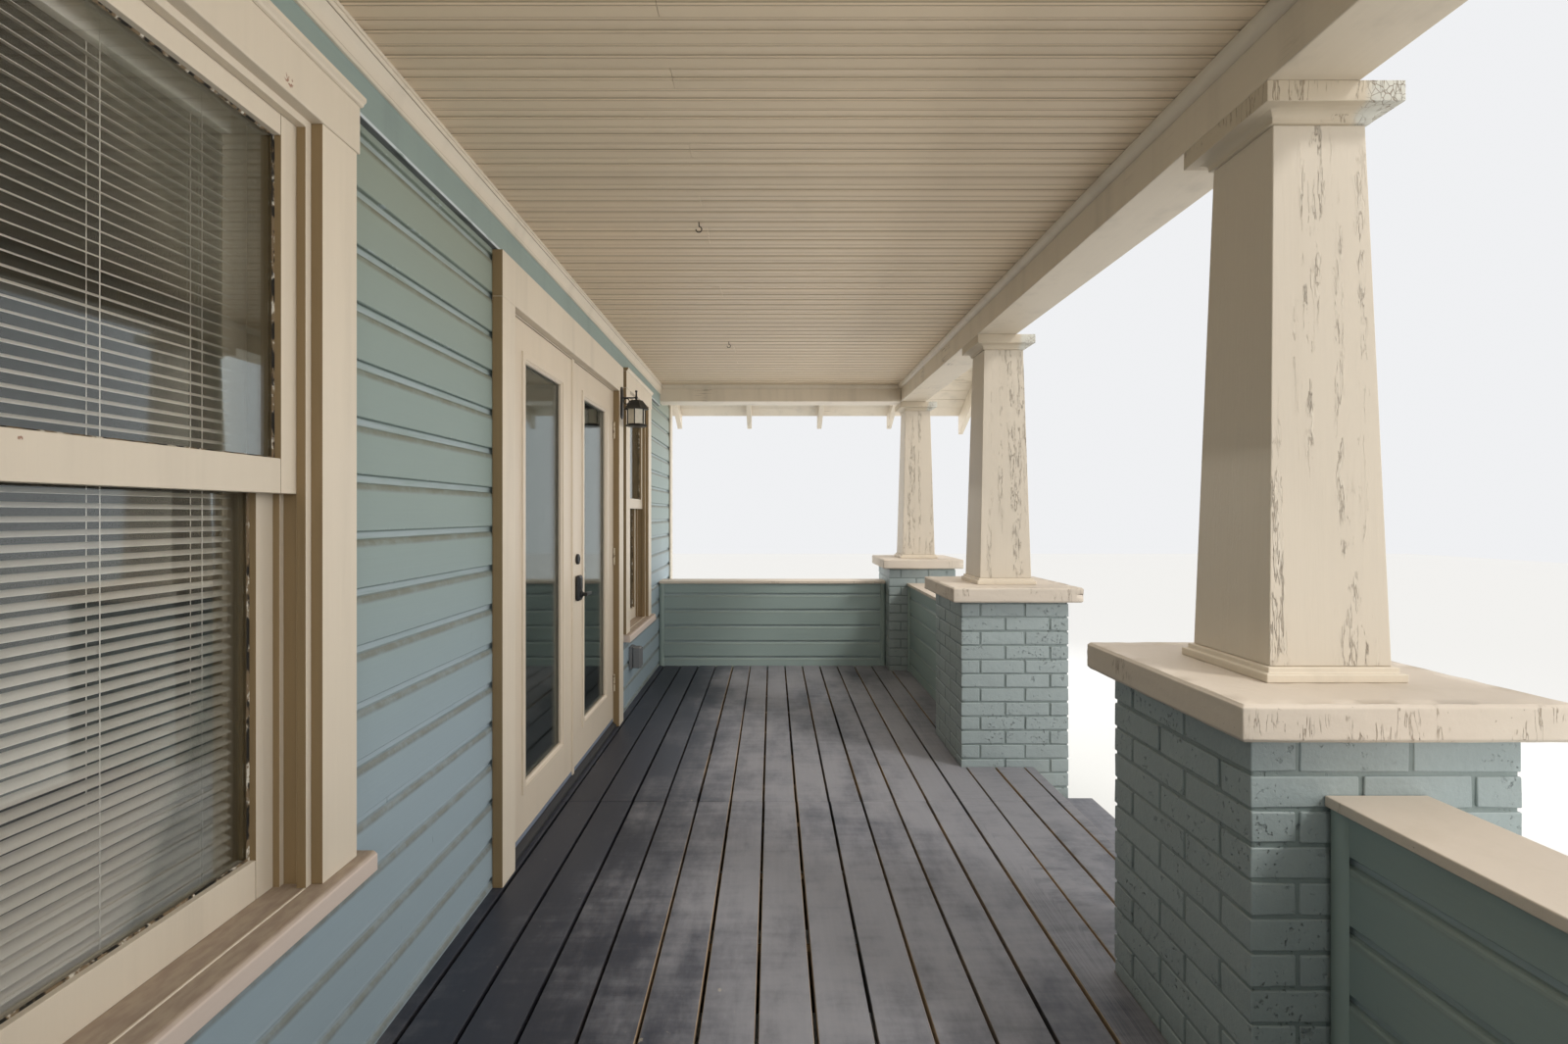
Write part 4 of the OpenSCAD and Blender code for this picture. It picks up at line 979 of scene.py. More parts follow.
rose_rings = [(0.019, plate_y + 0.001), (0.019, plate_y - 0.003), (0.0165, plate_y - 0.006),
              (0.0095, plate_y - 0.0075), (0.0085, lever_y - 0.004), (0.007, lever_y - 0.0075)]
rose = turning("rose", 32, (lock_x, 0, lever_z), rose_rings, "Y")
lever_line = [(-0.0075, -0.0070), (-0.0040, -0.0095), (0.0040, -0.0095), (0.0075, -0.0070),
              (0.0075, 0.0070), (0.0040, 0.0095), (-0.0040, 0.0095), (-0.0075, 0.0070)]
lever_line = [(lever_y + a, lever_z + b) for a, b in lever_line]
lever = moulding("lever", lever_line, "X", lock_x - 0.012, lever_end)
edit(lever, (bpy.ops.mesh.subdivide, {"number_cuts": 3}))
for vertex in lever.data.vertices:
    share = max(0, (vertex.co.x - lock_x) / (lever_end - lock_x))
    vertex.co.y = lever_y + (vertex.co.y - lever_y) * (1 - 0.35 * share) + 0.004 * share ** 2
    vertex.co.z = lever_z + (vertex.co.z - lever_z) * (1 - 0.25 * share) - 0.003 * share ** 2
soften(lever, 0.0025, 2, 40)
bolt_rings = [(0.025, 0), (0.025, 0.008), (0.0235, 0.0105), (0.014, 0.012), (0.0105, 0.0118),
              (0.0100, 0.0105), (0, 0.0105)]
bolt = turning("bolt", 40, (lock_x, 0, dead_z), [(half, wall_y - out) for half, out in bolt_rings], "Y")
keyway = near_lock("keyway", 0.0007, (0.0112, 0.0100), dead_z - 0.0045, dead_z + 0.0045, width=0.0002,
                   segments=1)
outer_lock = join("door_lock_outside", plate, panel, keys, rose, lever, bolt, keyway)
inner_lock = bpy.data.objects.new("door_lock_inside", outer_lock.data.copy())
bpy.context.scene.collection.objects.link(inner_lock)
inner_lock.data.transform(Matrix.Translation((0, 2 * leaf_middle, 0)) @ Matrix.Diagonal((1, -1, 1, 1)))
inner_lock.data.flip_normals()
lock = smooth(join("door_lock_set", outer_lock, inner_lock))
deliver(lock, enamel_finish("worn_black_enamel"), "black_metal", "door_lock", body="far_door")

# Wall lantern
# A six-sided carriage lantern with frosted panes on a plain arm, screwed to the far door casing.
# Cast aluminium in black enamel that has chalked on its upper faces.
lamp_low, lamp_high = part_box("lantern_frame")
lantern_x = (lamp_low[0] + lamp_high[0]) / 2
lantern_y = door_face - 0.090
base_z = deck_z + 1.798
pane_low = base_z + 0.0155
pane_high = base_z + 0.105
arm_z = base_z + 0.176
pane_out = 0.0455
bar_w = 0.0065
bar_out = 0.0505 / math.cos(math.pi / 6) - 0.0035


def lantern_turning(name, sides, start, rings):
    """A turning on the lantern's upright axis. Its rings' heights count from a start."""
    return turning(name, sides, (lantern_x, lantern_y, 0), [(half, start + up) for half, up in rings])


def six_round(turn, out, width, depth, tall):
    """Places of six upright bars or panes round the lantern's axis, the first one turned."""
    spot = Matrix.Translation((lantern_x, lantern_y, (pane_low + pane_high) / 2))
    shape = Matrix.Translation((out, 0, 0)) @ Matrix.Diagonal((width, depth, pane_high - pane_low + tall, 1))
    return [spot @ Matrix.Rotation(math.radians(60 * number + turn), 4, "Z") @ shape for number in range(6)]


base = lantern_turning("base", 6, base_z, [
    (0.040, 0), (0.0545, 0.0015), (0.0565, 0.005), (0.0565, 0.009), (0.0535, 0.012), (0.052, 0.0155),
    (0.020, 0.0155)])
roof = lantern_turning("roof", 6, pane_high, [
    (0.046, -0.002), (0.064, 0), (0.066, 0.002), (0.065, 0.005), (0.058, 0.013), (0.050, 0.028),
    (0.043, 0.040), (0.036, 0.050), (0.035, 0.0535), (0.033, 0.054), (0.014, 0.054), (0.013, 0.058),
    (0.008, 0.060)])
stem = lantern_turning("stem", 16, arm_z, [
    (0.0055, -0.017), (0.0055, -0.008), (0.0085, -0.006), (0.0085, 0.006), (0.0055, 0.008), (0.0045, 0.032),
    (0.0065, 0.034), (0.0075, 0.039), (0.0062, 0.044), (0, 0.046)])
arm_rings = [(0.0042, lantern_y), (0.0042, door_face - 0.012), (0.0095, door_face - 0.008),
             (0.0110, door_face - 0.004)]
arm = turning("arm", 12, (lantern_x, 0, arm_z), arm_rings, "Y")
bpy.ops.mesh.primitive_torus_add(location=(lantern_x, door_face - 0.031, arm_z - 0.0205),
                                 rotation=(0, math.pi / 2, 0), major_segments=28, minor_segments=8,
                                 major_radius=0.0165, minor_radius=0.0032)
scroll = bpy.context.object
bpy.ops.object.transform_apply(location=True, rotation=True, scale=True)
plate_z = arm_z - 0.0315
plate_line = [(-0.030, -0.075), (-0.022, -0.091), (-0.008, -0.097), (0.008, -0.097), (0.022, -0.091),
              (0.030, -0.075), (0.030, 0.075), (0.022, 0.091), (0.008, 0.097), (-0.008, 0.097),
              (-0.022, 0.091), (-0.030, 0.075)]
plates = []
for name, across, tall, front, rear in (("back", 1, 1, 0.007, 0), ("raised", 0.72, 0.84, 0.010, 0.006)):
    outline = [(lantern_x + across * a, plate_z + tall * b) for a, b in plate_line]
    plates.append(soften(moulding(name, outline, "Y", door_face - front, door_face - rear), 0.002))
bars = [(place, 0.0) for place in six_round(0, bar_out, bar_w, bar_w, 0.003)]
bars = soften(repeat("bars", [unit_block()], bars), 0.0012)
lantern = smooth(join("lantern_body", base, roof, stem, arm, scroll, *plates, bars), 35)
deliver(lantern, enamel_finish("chalky_black_enamel", 0.7), "black_metal", "lantern_frame")
panes = [(place, draw.uniform(-1, 1)) for place in six_round(30, pane_out, 0.002, 0.052, -0.001)]
lantern_glass = soften(repeat("lantern_glass", [unit_block()], panes), 0.0004, 1)
frosted = Finish("frosted_glass")
seedy = frosted.noise(90, (1, 1, 0.6), detail=3)
frosted.set(Base_Color=frosted.shade(srgb(214, 208, 192), 0.86 + 0.22 * seedy), Roughness=0.45,
            Alpha=0.93).bump(seedy, 0.0010)
deliver(lantern_glass, frosted, "frosted_glass", "lantern_panes")

# Outlet cover
# A weatherproof box for an outlet beside the far window, with a deep ribbed lid hinged at the top
# and two notches for cords in its foot. Grey moulded plastic.
outlet_low, outlet_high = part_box("outlet_cover")
left, lid_front, low = outlet_low
right, high = outlet_high[0], outlet_high[2]
box_face = wall_y - 0.020
lid_face = lid_front + 0.004
lid_in = 0.006
rib_in = 0.014
rib_half = 0.002
middle = (left + right) / 2
cover = boards_of("cover", [((left, box_face, low), (right, wall_y, high))], width=0.004, segments=3)
lid = boards_of("lid", [
    ((left + lid_in, lid_face, low + lid_in), (right - lid_in, box_face - 0.001, high - lid_in))],
    width=0.010, segments=4)
ribs = []
for number in range(5):
    x = left + rib_in + number * (right - left - 2 * rib_in) / 4
    ribs.append(((x - rib_half, lid_front, low + rib_in), (x + rib_half, lid_face + 0.006, high - rib_in)))
ribs = boards_of("ribs", ribs, width=0.0016, segments=3)
knuckle_r = 0.0045
knuckle = turning("knuckle", 16, (0, box_face - 0.004, high - 0.006), [
    (0, left + 0.010), (knuckle_r, left + 0.0105), (knuckle_r, right - 0.0105), (0, right - 0.010)], "X")
latch = boards_of("latch", [
    ((middle - 0.011, lid_face - 0.001, low + 0.003), (middle + 0.011, lid_face + 0.010, low + 0.016))],
    width=0.002, segments=3)
notches = boards_of("notches", [
    ((x - 0.007, box_face - 0.024, low + 0.0045), (x + 0.007, box_face - 0.010, low + 0.008))
    for x in (middle - 0.018, middle + 0.018)], width=0.001)
plastic = Finish("grey_moulded_plastic")
mottle = plastic.noise(3)
dust = plastic.step(plastic.side(2), 0.3, 1.0) * plastic.noise(20)
grey = plastic.coats(plastic.shade(srgb(118, 120, 122), 0.9 + 0.2 * mottle), (0.5 * dust, (150, 142, 126)))
plastic.set(Base_Color=grey, Roughness=0.46 + 0.2 * mottle).bump(plastic.noise(220), 0.0003)
outlet = smooth(join("outlet_cover_lid", cover, lid, ribs, knuckle, latch, notches))
deliver(outlet, plastic, "grey_plastic", "outlet_cover")

# Deck
# Pressure-treated boards laid along the house, 35 mm thick with open joints, butted over one joist.
# Charcoal deck paint is worn grey along the walking line and bare brown in some joints; painted
# shade darkens it towards the wall and in the other joints.
deck_t = 0.035
board_pitch = 0.1447
board_gap = 0.0095
joint_line = 1.292
butt_x = 0.354
butt_gap = 0.0008
joints = [deck_high[1]]
line = joint_line + board_pitch
while line > deck_low[1]:
    joints.append(line)
    line -= board_pitch
joints.append(deck_low[1])
places = []
for far_edge, near_edge in zip(joints, joints[1:]):
    for start, end in ((deck_low[0], butt_x), (butt_x, deck_high[0])):
        slip = draw.uniform(-0.0015, 0.0015)
        low = (start + butt_gap, near_edge + board_gap / 2 + slip, deck_z - deck_t)
        high = (end - butt_gap, far_edge - board_gap / 2 + slip, deck_z - 0.0008)
        place = span_place(low, high, draw.uniform(-0.015, 0.015), draw.uniform(-0.0006, 0.0006))
        places.append((place, draw.uniform(-1, 1)))
deck = repeat("deck_planks", [unit_block()], places)
cut_to_node(deck, "deck_boards", 2, (deck_z, deck_z + 0.1), (deck_z - deck_t, deck_z - 0.15))
soften(deck, 0.0028)


def deck_finish(name):
    """Charcoal paint on planed pine: chalky along the walking line, with broom marks across it, pale
    spills and a bare brown line along some edges. Painted shade darkens the paint towards the house
    wall and turns the other edges near-black."""
    f = Finish(name)
    board = 11 * f.tone()
    fibre = f.noise(2.6, (0.8, 30, 30), detail=5, rough=0.6, seed=board)
    cloud = f.noise(1.5, (0.7, 1.1, 1), detail=6, rough=0.62)
    patch = f.noise(6.0, (0.6, 1.4, 1), detail=6, rough=0.7, seed=board)
    broom = f.noise(9, (3.2, 0.5, 1), detail=5, rough=0.6)
    grit = f.noise(60, detail=5, rough=0.7)
    # Lighter away from the house wall: wear along the walking line, and a painted shade towards the wall.
    walked_and_lit = f.step(f.along(1), 1.30, 0.55)
    chalk = f.step(0.42 * cloud + 0.28 * patch + 0.14 * broom + 0.16 * walked_and_lit, 0.43, 0.64)
    paint = f.shade(srgb(56, 60, 72), 0.76 + 0.17 * walked_and_lit + 0.09 * f.tone() + 0.16 * (fibre - 0.5))
    colour = f.mix(0.64 * chalk, paint, f.shade(srgb(158, 157, 161), 0.86 + 0.14 * fibre + 0.14 * grit))
    spill = f.spots(0.70, 0.76, 4.5, detail=7, rough=0.75)
    specks = f.spots(0.69, 0.73, 34, rough=0.6) * f.spots(0.45, 0.6, 2.6)
    colour = f.coats(colour, (0.35 * spill, (188, 184, 172)), (0.5 * specks, (178, 168, 150)))
    # Bare brown edges only away from the wall; the other edges are painted near-black, a painted shade in the
    # joints.
    bare = f.spots(0.36, 0.56, 2.2, (0.6, 2, 1), detail=5) * f.step(f.along(1), 1.05, 0.85)
    edge = f.step(abs(f.side(1)), 0.2, 0.6)
    colour = f.mix(0.75 * edge * bare, colour, f.shade(srgb(170, 146, 114), 0.75 + 0.4 * fibre))
    colour = f.coats(colour, (0.6 * edge * (1 - bare), (30, 29, 30)))
    f.set(Base_Color=colour, Roughness=0.40 + 0.22 * chalk + 0.08 * grit)
    return f.bump(0.6 * fibre + 0.3 * broom + 0.25 * grit, 0.0006)


deck_paint = deck_finish("deck_paint")
deliver(deck, deck_paint, "deck_paint", "deck_boards")

# Deck frame
# Rims, a ledger and joists of treated timber, left bare and greyed on their faces.
timber = srgb(142, 122, 94)
sawn = {"dirt": 0.3, "rough": 0.75, "tones": 0.06, "grain": 0.001}
timber_x = paint_finish("treated_timber_lengthwise", timber, "X", **sawn)
timber_y = paint_finish("treated_timber_crosswise", timber, "Y", **sawn)
soft_copy("deck_rim_boards", timber_x, "raw_timber", "deck_rims", width=0.002)
soft_copy("deck_joist_boards", timber_y, "raw_timber", "deck_joists", width=0.002)

# Entry steps
# Three treads of two planks each on sawn stringers, painted like the deck.
tread_low, tread_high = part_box("entry_treads")
rise = 0.15
run = 0.28
tread_t = 0.04
tread_gap = 0.006
treads = []
for step in (1, 2, 3):
    front = deck_low[1] - step * run
    top = deck_z - step * rise
    for start in (front, front + (run + tread_gap) / 2):
        end = start + (run - tread_gap) / 2
        treads.append(((tread_low[0], start, top - tread_t), (tread_high[0], end, top)))
deliver(boards_of("entry_tread_planks", treads, width=0.0035), deck_paint, "deck_paint", "entry_treads")
soft_copy("step_stringer_boards", timber_y, "raw_timber", "step_stringers", width=0.002)

# Brick piers
# Square piers of common brick, two and a half bricks wide, laid in running bond with the corners
# lapped. Many coats of sage paint have rounded the arrises and half filled the joints.
pier_low, pier_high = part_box("brick_piers")
pier_w = 0.54
pier_y = (pier_low[1] + pier_high[1]) / 2
pier_xs = [pier_low[0] + pier_w / 2, -1.036, 1.036, pier_high[0] - pier_w / 2]
brick_l = 0.2155
brick_w = 0.0895
course_count = 20
course_h = 0.0711
joint = 0.0095
joint_depth = 0.0042


def brick_model():
    """One brick with uneven corners and worn edges, its middle at the origin."""
    brick = unit_block()
    brick.data.transform(Matrix.Diagonal((brick_l, brick_w, course_h - joint, 1)))
    for vertex in brick.data.vertices:
        vertex.co += Vector((draw.uniform(-0.0014, 0.0014), draw.uniform(-0.0008, 0.0004),
                             draw.uniform(-0.0016, 0.0016)))
    return modify(brick, "BEVEL", width=0.0034, segments=2, limit_method="NONE")


brick_spots = (-pier_w / 2 + brick_l / 2, -pier_w / 2 + brick_l * 1.5 + joint)
places = []
for x in pier_xs:
    for course in range(course_count):
        flip = -1 if course % 2 else 1
        for side in range(4):
            for along in brick_spots:
                spot = Matrix.Translation((x, pier_y, (course + 0.5) * course_h))
                turn = Matrix.Rotation(math.radians(90 * side), 4, "Z")
                shift = Matrix.Translation((flip * along, -(pier_w - brick_w) / 2 + draw.uniform(0, 0.0016),
                                            draw.uniform(-0.0008, 0.0008)))
                lean = Matrix.Rotation(math.radians(draw.uniform(-0.35, 0.35)), 4, draw.choice("XYZ"))
                places.append((spot @ turn @ shift @ lean, draw.uniform(-1, 1)))
bricks = repeat("pier_bricks", [brick_model() for count in range(5)], places)
smooth(bricks, 50)
core = pier_w / 2 - joint_depth
mortar_top = pier_high[2] - 0.001
mortar = boards_of("pier_mortar", [((x - core, pier_y - core, 0.002), (x + core, pier_y + core, mortar_top))
                                   for x in pier_xs], width=0.004)
modify(mortar, "SUBSURF", subdivision_type="SIMPLE", levels=4, render_levels=4)
lumps = bpy.data.textures.new("mortar_lumps", "CLOUDS")
lumps.noise_scale = 0.05
modify(mortar, "DISPLACE", texture=lumps, strength=0.004, mid_level=0.5, texture_coords="LOCAL")


def brick_finish(name, colour):
    """Thick uneven paint over rough brick and mortar."""
    f = Finish(name)
    cloud = f.noise(1.6)
    lump = f.noise(22, seed=5 * f.tone())
    pits = f.noise(75, rough=0.6)
    dent = f.spots(0.60, 0.70, 34, detail=5, rough=0.6, seed=3 * f.tone())
    dent = dent * f.spots(0.44, 0.58, 3.0, detail=3)
    pock = f.spots(0.60, 0.67, 105, (1, 1, 0.8), detail=3) * f.spots(0.48, 0.60, 5.5)
    dirt = f.spots(0.48, 0.72, 3.4, (1, 1, 0.5), detail=5)
    chip = f.spots(0.72, 0.75, 11, detail=6, rough=0.7)
    low = f.step(f.along(2), 0.30, 0.0) * f.spots(0.35, 0.65, 5, detail=5)
    paint = f.shade(colour, 0.92 + 0.12 * cloud + 0.04 * f.tone() + 0.08 * (lump - 0.5) - 0.08 * dirt)
    paint = f.coats(paint, (0.35 * dent, (86, 96, 94)), (0.55 * pock, (74, 80, 80)),
                    (0.6 * chip, (176, 178, 170)), (0.45 * low, (112, 104, 88)))
    f.set(Base_Color=paint, Roughness=0.36 + 0.2 * pits)
    return f.bump(0.7 * lump + 0.3 * pits - 0.7 * dent - 0.8 * pock, 0.0050)


deliver(bricks, brick_finish("painted_brick", srgb(149, 160, 160)), "painted_brick", "brick_piers")
# The mortar is painted darker than the brick: a painted shade in the recessed joints.
deliver(mortar, brick_finish("mortar_shade_paint", srgb(124, 136, 134)), "painted_brick")


# Pier caps
# Cast slabs that overhang the brick by two inches, their edges knocked and softened by paint.
def rough_paint(name, colour, depth=0.002, crackled=0.0):
    """Thick paint on a cast slab or a block: chips at the arrises, thin upright cracks, pin holes,
    and a crackled pale skin where a share of it is crackled, towards the street."""
    f = Finish(name)
    cloud = f.noise(2.0, detail=5)
    grit = f.noise(55, detail=5, rough=0.65)
    dents = f.noise(14)
    upright = f.step(abs(f.side(2)), 0.9, 0.5)
    lying = f.step(f.side(2), 0.5, 0.95) * f.spots(0.50, 0.74, 4.5, detail=6, rough=0.65)
    chip = f.spots(0.69, 0.73, 19, detail=6, rough=0.7) * upright
    crack = f.lines(f.noise(1.0, (46, 46, 5), rough=0.6), 0.965, 0.99)
    crack = crack * f.spots(0.54, 0.60, 7, detail=3) * upright
    hole = f.spots(0.70, 0.74, 130, detail=2) * upright
    paint = f.shade(colour, 0.92 + 0.12 * cloud + 0.05 * (grit - 0.5))
    paint = f.coats(paint, (0.22 * lying, (166, 154, 132)), (0.45 * chip, (142, 130, 114)))
    if crackled > 0:
        edge = f.node("ShaderNodeTexVoronoi", {"feature": "DISTANCE_TO_EDGE"},
                      {"Vector": f.place((1, 1, 0.8)), "Scale": 75.0}, output="Distance")
        street = f.step(f.along(1) + 0.05 * (dents - 0.5), pier_y - 0.06, pier_y - 0.09) * crackled
        flakes = f.step(edge, 0.05, 0.015) * f.spots(0.40, 0.5, 16)
        paint = f.mix(0.8 * street, paint, f.shade(srgb(196, 197, 190), 0.86 + 0.28 * grit))
        paint = f.coats(paint, (0.45 * flakes * street, (112, 96, 84)))
        crack = crack + flakes * street
    paint = f.coats(paint, (0.6 * crack, (128, 110, 88)), (0.7 * hole, (96, 80, 62)))
    f.set(Base_Color=paint, Roughness=0.6 + 0.15 * grit)
    return f.bump(0.5 * grit + 0.8 * dents - 0.6 * chip - 0.6 * crack - 0.5 * hole, depth)


def knocked(name, node, width, strength, scale, levels=4):
    """A soft copy of a node, with its edges and faces made uneven."""
    piece = copy_of(name, node)
    modify(piece, "BEVEL", width=width, segments=3, limit_method="ANGLE", angle_limit=math.radians(50))
    edit(piece, (bpy.ops.mesh.quads_convert_to_tris, {}), (bpy.ops.mesh.tris_convert_to_quads, {}))
    modify(piece, "SUBSURF", subdivision_type="SIMPLE", levels=levels, render_levels=levels)
    clouds = bpy.data.textures.new(name, "CLOUDS")
    clouds.noise_scale = scale
    clouds.noise_depth = 3
    modify(piece, "DISPLACE", texture=clouds, strength=strength, mid_level=0.5, texture_coords="LOCAL")
    return smooth(piece, 50, keep_flat=False)


slab_paint = rough_paint("rough_cream_paint", srgb(207, 195, 180))
slabs = knocked("pier_cap_slabs", "pier_caps", 0.0032, 0.0042, 0.035)
deliver(slabs, slab_paint, "cream_paint", "pier_caps")

# Columns
# Tapered box columns of four boards, mitred at the corners, on a two-step base and under a capital
# of fillet, cove and block. Sun has opened the grain and lifted the paint on their outer faces.
soft_copy("column_base_mouldings", cream_x_finish, "cream_paint", "column_bases", width=0.003, segments=3)


def weathered_paint(name, colour):
    """Paint over old pine: short fine splits one above another in a few upright lines, with lifted
    edges, on the faces that the weather reaches."""
    f = Finish(name)
    cloud = f.noise(1.5, (1, 1, 0.5), detail=5)
    fibre = f.noise(3.4, (26, 26, 1.3), detail=6, rough=0.66)
    outer = f.step(f.side(0) * f.side(0) + f.step(f.side(1), 0.1, -0.6), 0.3, 0.8)
    lines = f.spots(0.47, 0.58, 1.0, (19, 19, 0.4), detail=3, rough=0.5)
    breaks = f.spots(0.42, 0.52, 1.0, (22, 22, 10))
    split = f.noise(1.0, (72, 72, 8), rough=0.6, warp=0.2)
    shown = lines * breaks * (0.08 + 0.92 * outer)
    crack = f.lines(split, 0.962, 0.990) * shown
    lifted = f.lines(split, 0.93, 0.98, middle=1.11) * shown
    chip = f.spots(0.67, 0.70, 30, (1.6, 1.6, 0.7), detail=5, rough=0.7) * lines * outer
    grime = f.spots(0.52, 0.8, 2.2, (3, 3, 0.4), detail=5)
    paint = f.shade(colour, 0.93 + 0.11 * cloud + 0.06 * (fibre - 0.5))
    paint = f.coats(paint, (0.18 * grime, (160, 146, 120)), (0.25 * lifted, (232, 224, 210)),
                    (0.52 * crack, (122, 102, 78)), (0.24 * chip, (160, 144, 120)))
    f.set(Base_Color=paint, Roughness=0.5 + 0.2 * (fibre - 0.5))
    return f.bump(0.35 * fibre + 0.6 * lifted - 1.0 * crack - 0.3 * chip, 0.0016)


column_paint = weathered_paint("weathered_cream_paint", srgb(207, 196, 179))
soft_copy("column_shaft_boxes", column_paint, "cream_paint", "column_shafts", width=0.0028, segments=3)
# The capitals' cream is painted darker than the shafts': a painted shade of the beam above them.
shaded_capital_paint = rough_paint("peeling_shaded_cream_paint", srgb(200, 187, 166), 0.0016, crackled=1.0)
blocks = knocked("column_capital_blocks", "column_capitals", 0.0022, 0.0016, 0.03, levels=2)
deliver(blocks, shaded_capital_paint, "cream_paint", "column_capitals")

# Knee walls
# Low stud walls between the piers, with the same drop siding inside and out, a rounded strip at
# each end of a run and a flat cream cap.
knee_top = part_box("front_knee_walls")[1][2]
knee_line = knee_top - 0.081
end_wall_t = 0.176
skin = board_t


def knee_wall(name, node, axis, faces, sides, finish):
    """A core and its boards for both walls of a node. Faces are the wall's two flat faces on the
    near side, and a side is a corner, a turn and a length."""
    low, high = faces
    core = copy_of(name + "_core", node)
    moves = [(low, low + skin), (high, high - skin), (-low, -low - skin), (-high, -high + skin)]
    reface(core, axis, *(moves if axis == 0 else moves[:2]))
    reface(core, 2, (knee_top, knee_top - 0.001))
    places = []
    for corner, turn, length in sides:
        places += siding_places(corner, turn, length + 2 * past, courses(knee_line, 0, knee_top))
    skins = repeat(name + "_boards", [siding_model()], places)
    grown = [(low, low - clear), (high, high + clear), (-low, -low + clear), (-high, -high - clear)]
    cut_to_node(skins, node, axis, *(grown if axis == 0 else grown[:2]))
    return deliver(join(name, core, skins), finish, "sage_paint", node)


knee_low, knee_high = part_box("front_knee_walls")
bay_in = pier_xs[2] + pier_w / 2
bay = knee_high[0] - bay_in
sides = []
for start in (bay_in, -knee_high[0]):
    sides.append(((start - past, knee_low[1]), 0, bay))
    sides.append(((start + bay + past, knee_high[1]), 180, bay))
knee_x_finish = siding_paint("front_knee_wall_paint", "X", knee_line, 0.2, 0.1)
knee_wall("front_knee_wall_siding", "front_knee_walls", 1, (knee_low[1], knee_high[1]), sides, knee_x_finish)
end_low, end_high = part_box("end_knee_walls")
end_in = end_high[0] - end_wall_t
sides = []
for start in (end_high[0], -end_in):
    sides.append(((start, end_low[1] - past), 90, end_high[1] - end_low[1]))
    sides.append(((start - end_wall_t, end_high[1] + past), -90, end_high[1] - end_low[1]))
knee_y_finish = siding_paint("end_knee_wall_paint", "Y", knee_line, 0.2, 0.1)
knee_wall("end_knee_wall_siding", "end_knee_walls", 0, (end_in, end_high[0]), sides, knee_y_finish)
soft_copy("knee_wall_cap_boards", slab_paint, "cream_paint", "knee_wall_caps", width=0.003, segments=3)
strip_finish = paint_finish("end_strip_paint", sage, "Z", dirt=0.2)
strips = smooth(copy_of("knee_wall_end_strips", "knee_wall_trim"), 50)
deliver(strips, strip_finish, "sage_paint", "knee_wall_trim")

# Beams
# Box beams of planed boards rest on the capitals. The end beams run back to the house and are
# deeper, and a quarter-round closes the corner with the ceiling.
beam_x_paint = paint_finish("beam_paint_lengthwise", cream, "X", cracks=0.25, dirt=0.16)
beam_y_paint = paint_finish("beam_paint_crosswise", cream, "Y", cracks=0.25, dirt=0.16)
soft_copy("front_beam_boards", beam_x_paint, "cream_paint", "front_beam", width=0.004, segments=3)
soft_copy("end_beam_boards", beam_y_paint, "cream_paint", "end_beams", width=0.004, segments=3)
soft_copy("bed_moulding_painted", cream_x_finish, "cream_paint", "bed_moulding", width=0.0008, segments=1)

# Ceiling
# Beaded matchboard runs from the house to the beam, with a bead every 41 mm. Some boards were
# pieced halfway.
ceiling_low, ceiling_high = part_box("ceiling")
match_w = 0.0826
match_t = 0.0125
match_gap_half = 0.0005
bead = [(0.0000, 0.0034), (0.0010, 0.0012), (0.0024, 0.0002), (0.0040, 0.0), (0.0056, 0.0002),
        (0.0070, 0.0012), (0.0080, 0.0032), (0.0094, 0.0002)]
match_outline = bead + [(x + match_w / 2, z) for x, z in bead]
match_outline += [(match_w, 0.0002), (match_w, match_t), (0, match_t)]
match_model = moulding("matchboard", match_outline, "Y", 0, 1)
pieced_share = 0.3
piece_y = 0.775
places = []
for number in range(math.ceil((ceiling_high[0] - ceiling_low[0]) / match_w)):
    x = ceiling_low[0] + number * match_w
    stops = [ceiling_low[1], ceiling_high[1]]
    if draw.random() < pieced_share:
        stops.insert(1, piece_y + draw.uniform(-0.002, 0.002))
    wide = min(1, (ceiling_high[0] - x) / match_w)
    for near, far in zip(stops, stops[1:]):
        spot = Matrix.Translation((x, near + match_gap_half, ceiling_low[2] + draw.uniform(0, 0.0008)))
        size = Matrix.Diagonal((wide, far - near - 2 * match_gap_half, 1, 1))
        places.append((spot @ size, draw.uniform(-1, 1)))
ceiling = smooth(repeat("ceiling_matchboard", [match_model], places), 35, keep_flat=False)
# The quirks next to the beads are darkened as painted shade.
ceiling_paint = paint_finish("ceiling_paint", srgb(221, 202, 175), "Y", dirt=0.03, tones=0.04,
                             grooves=(ceiling_low[0] + 0.004, match_w / 2))
deliver(ceiling, ceiling_paint, "cream_paint", "ceiling")

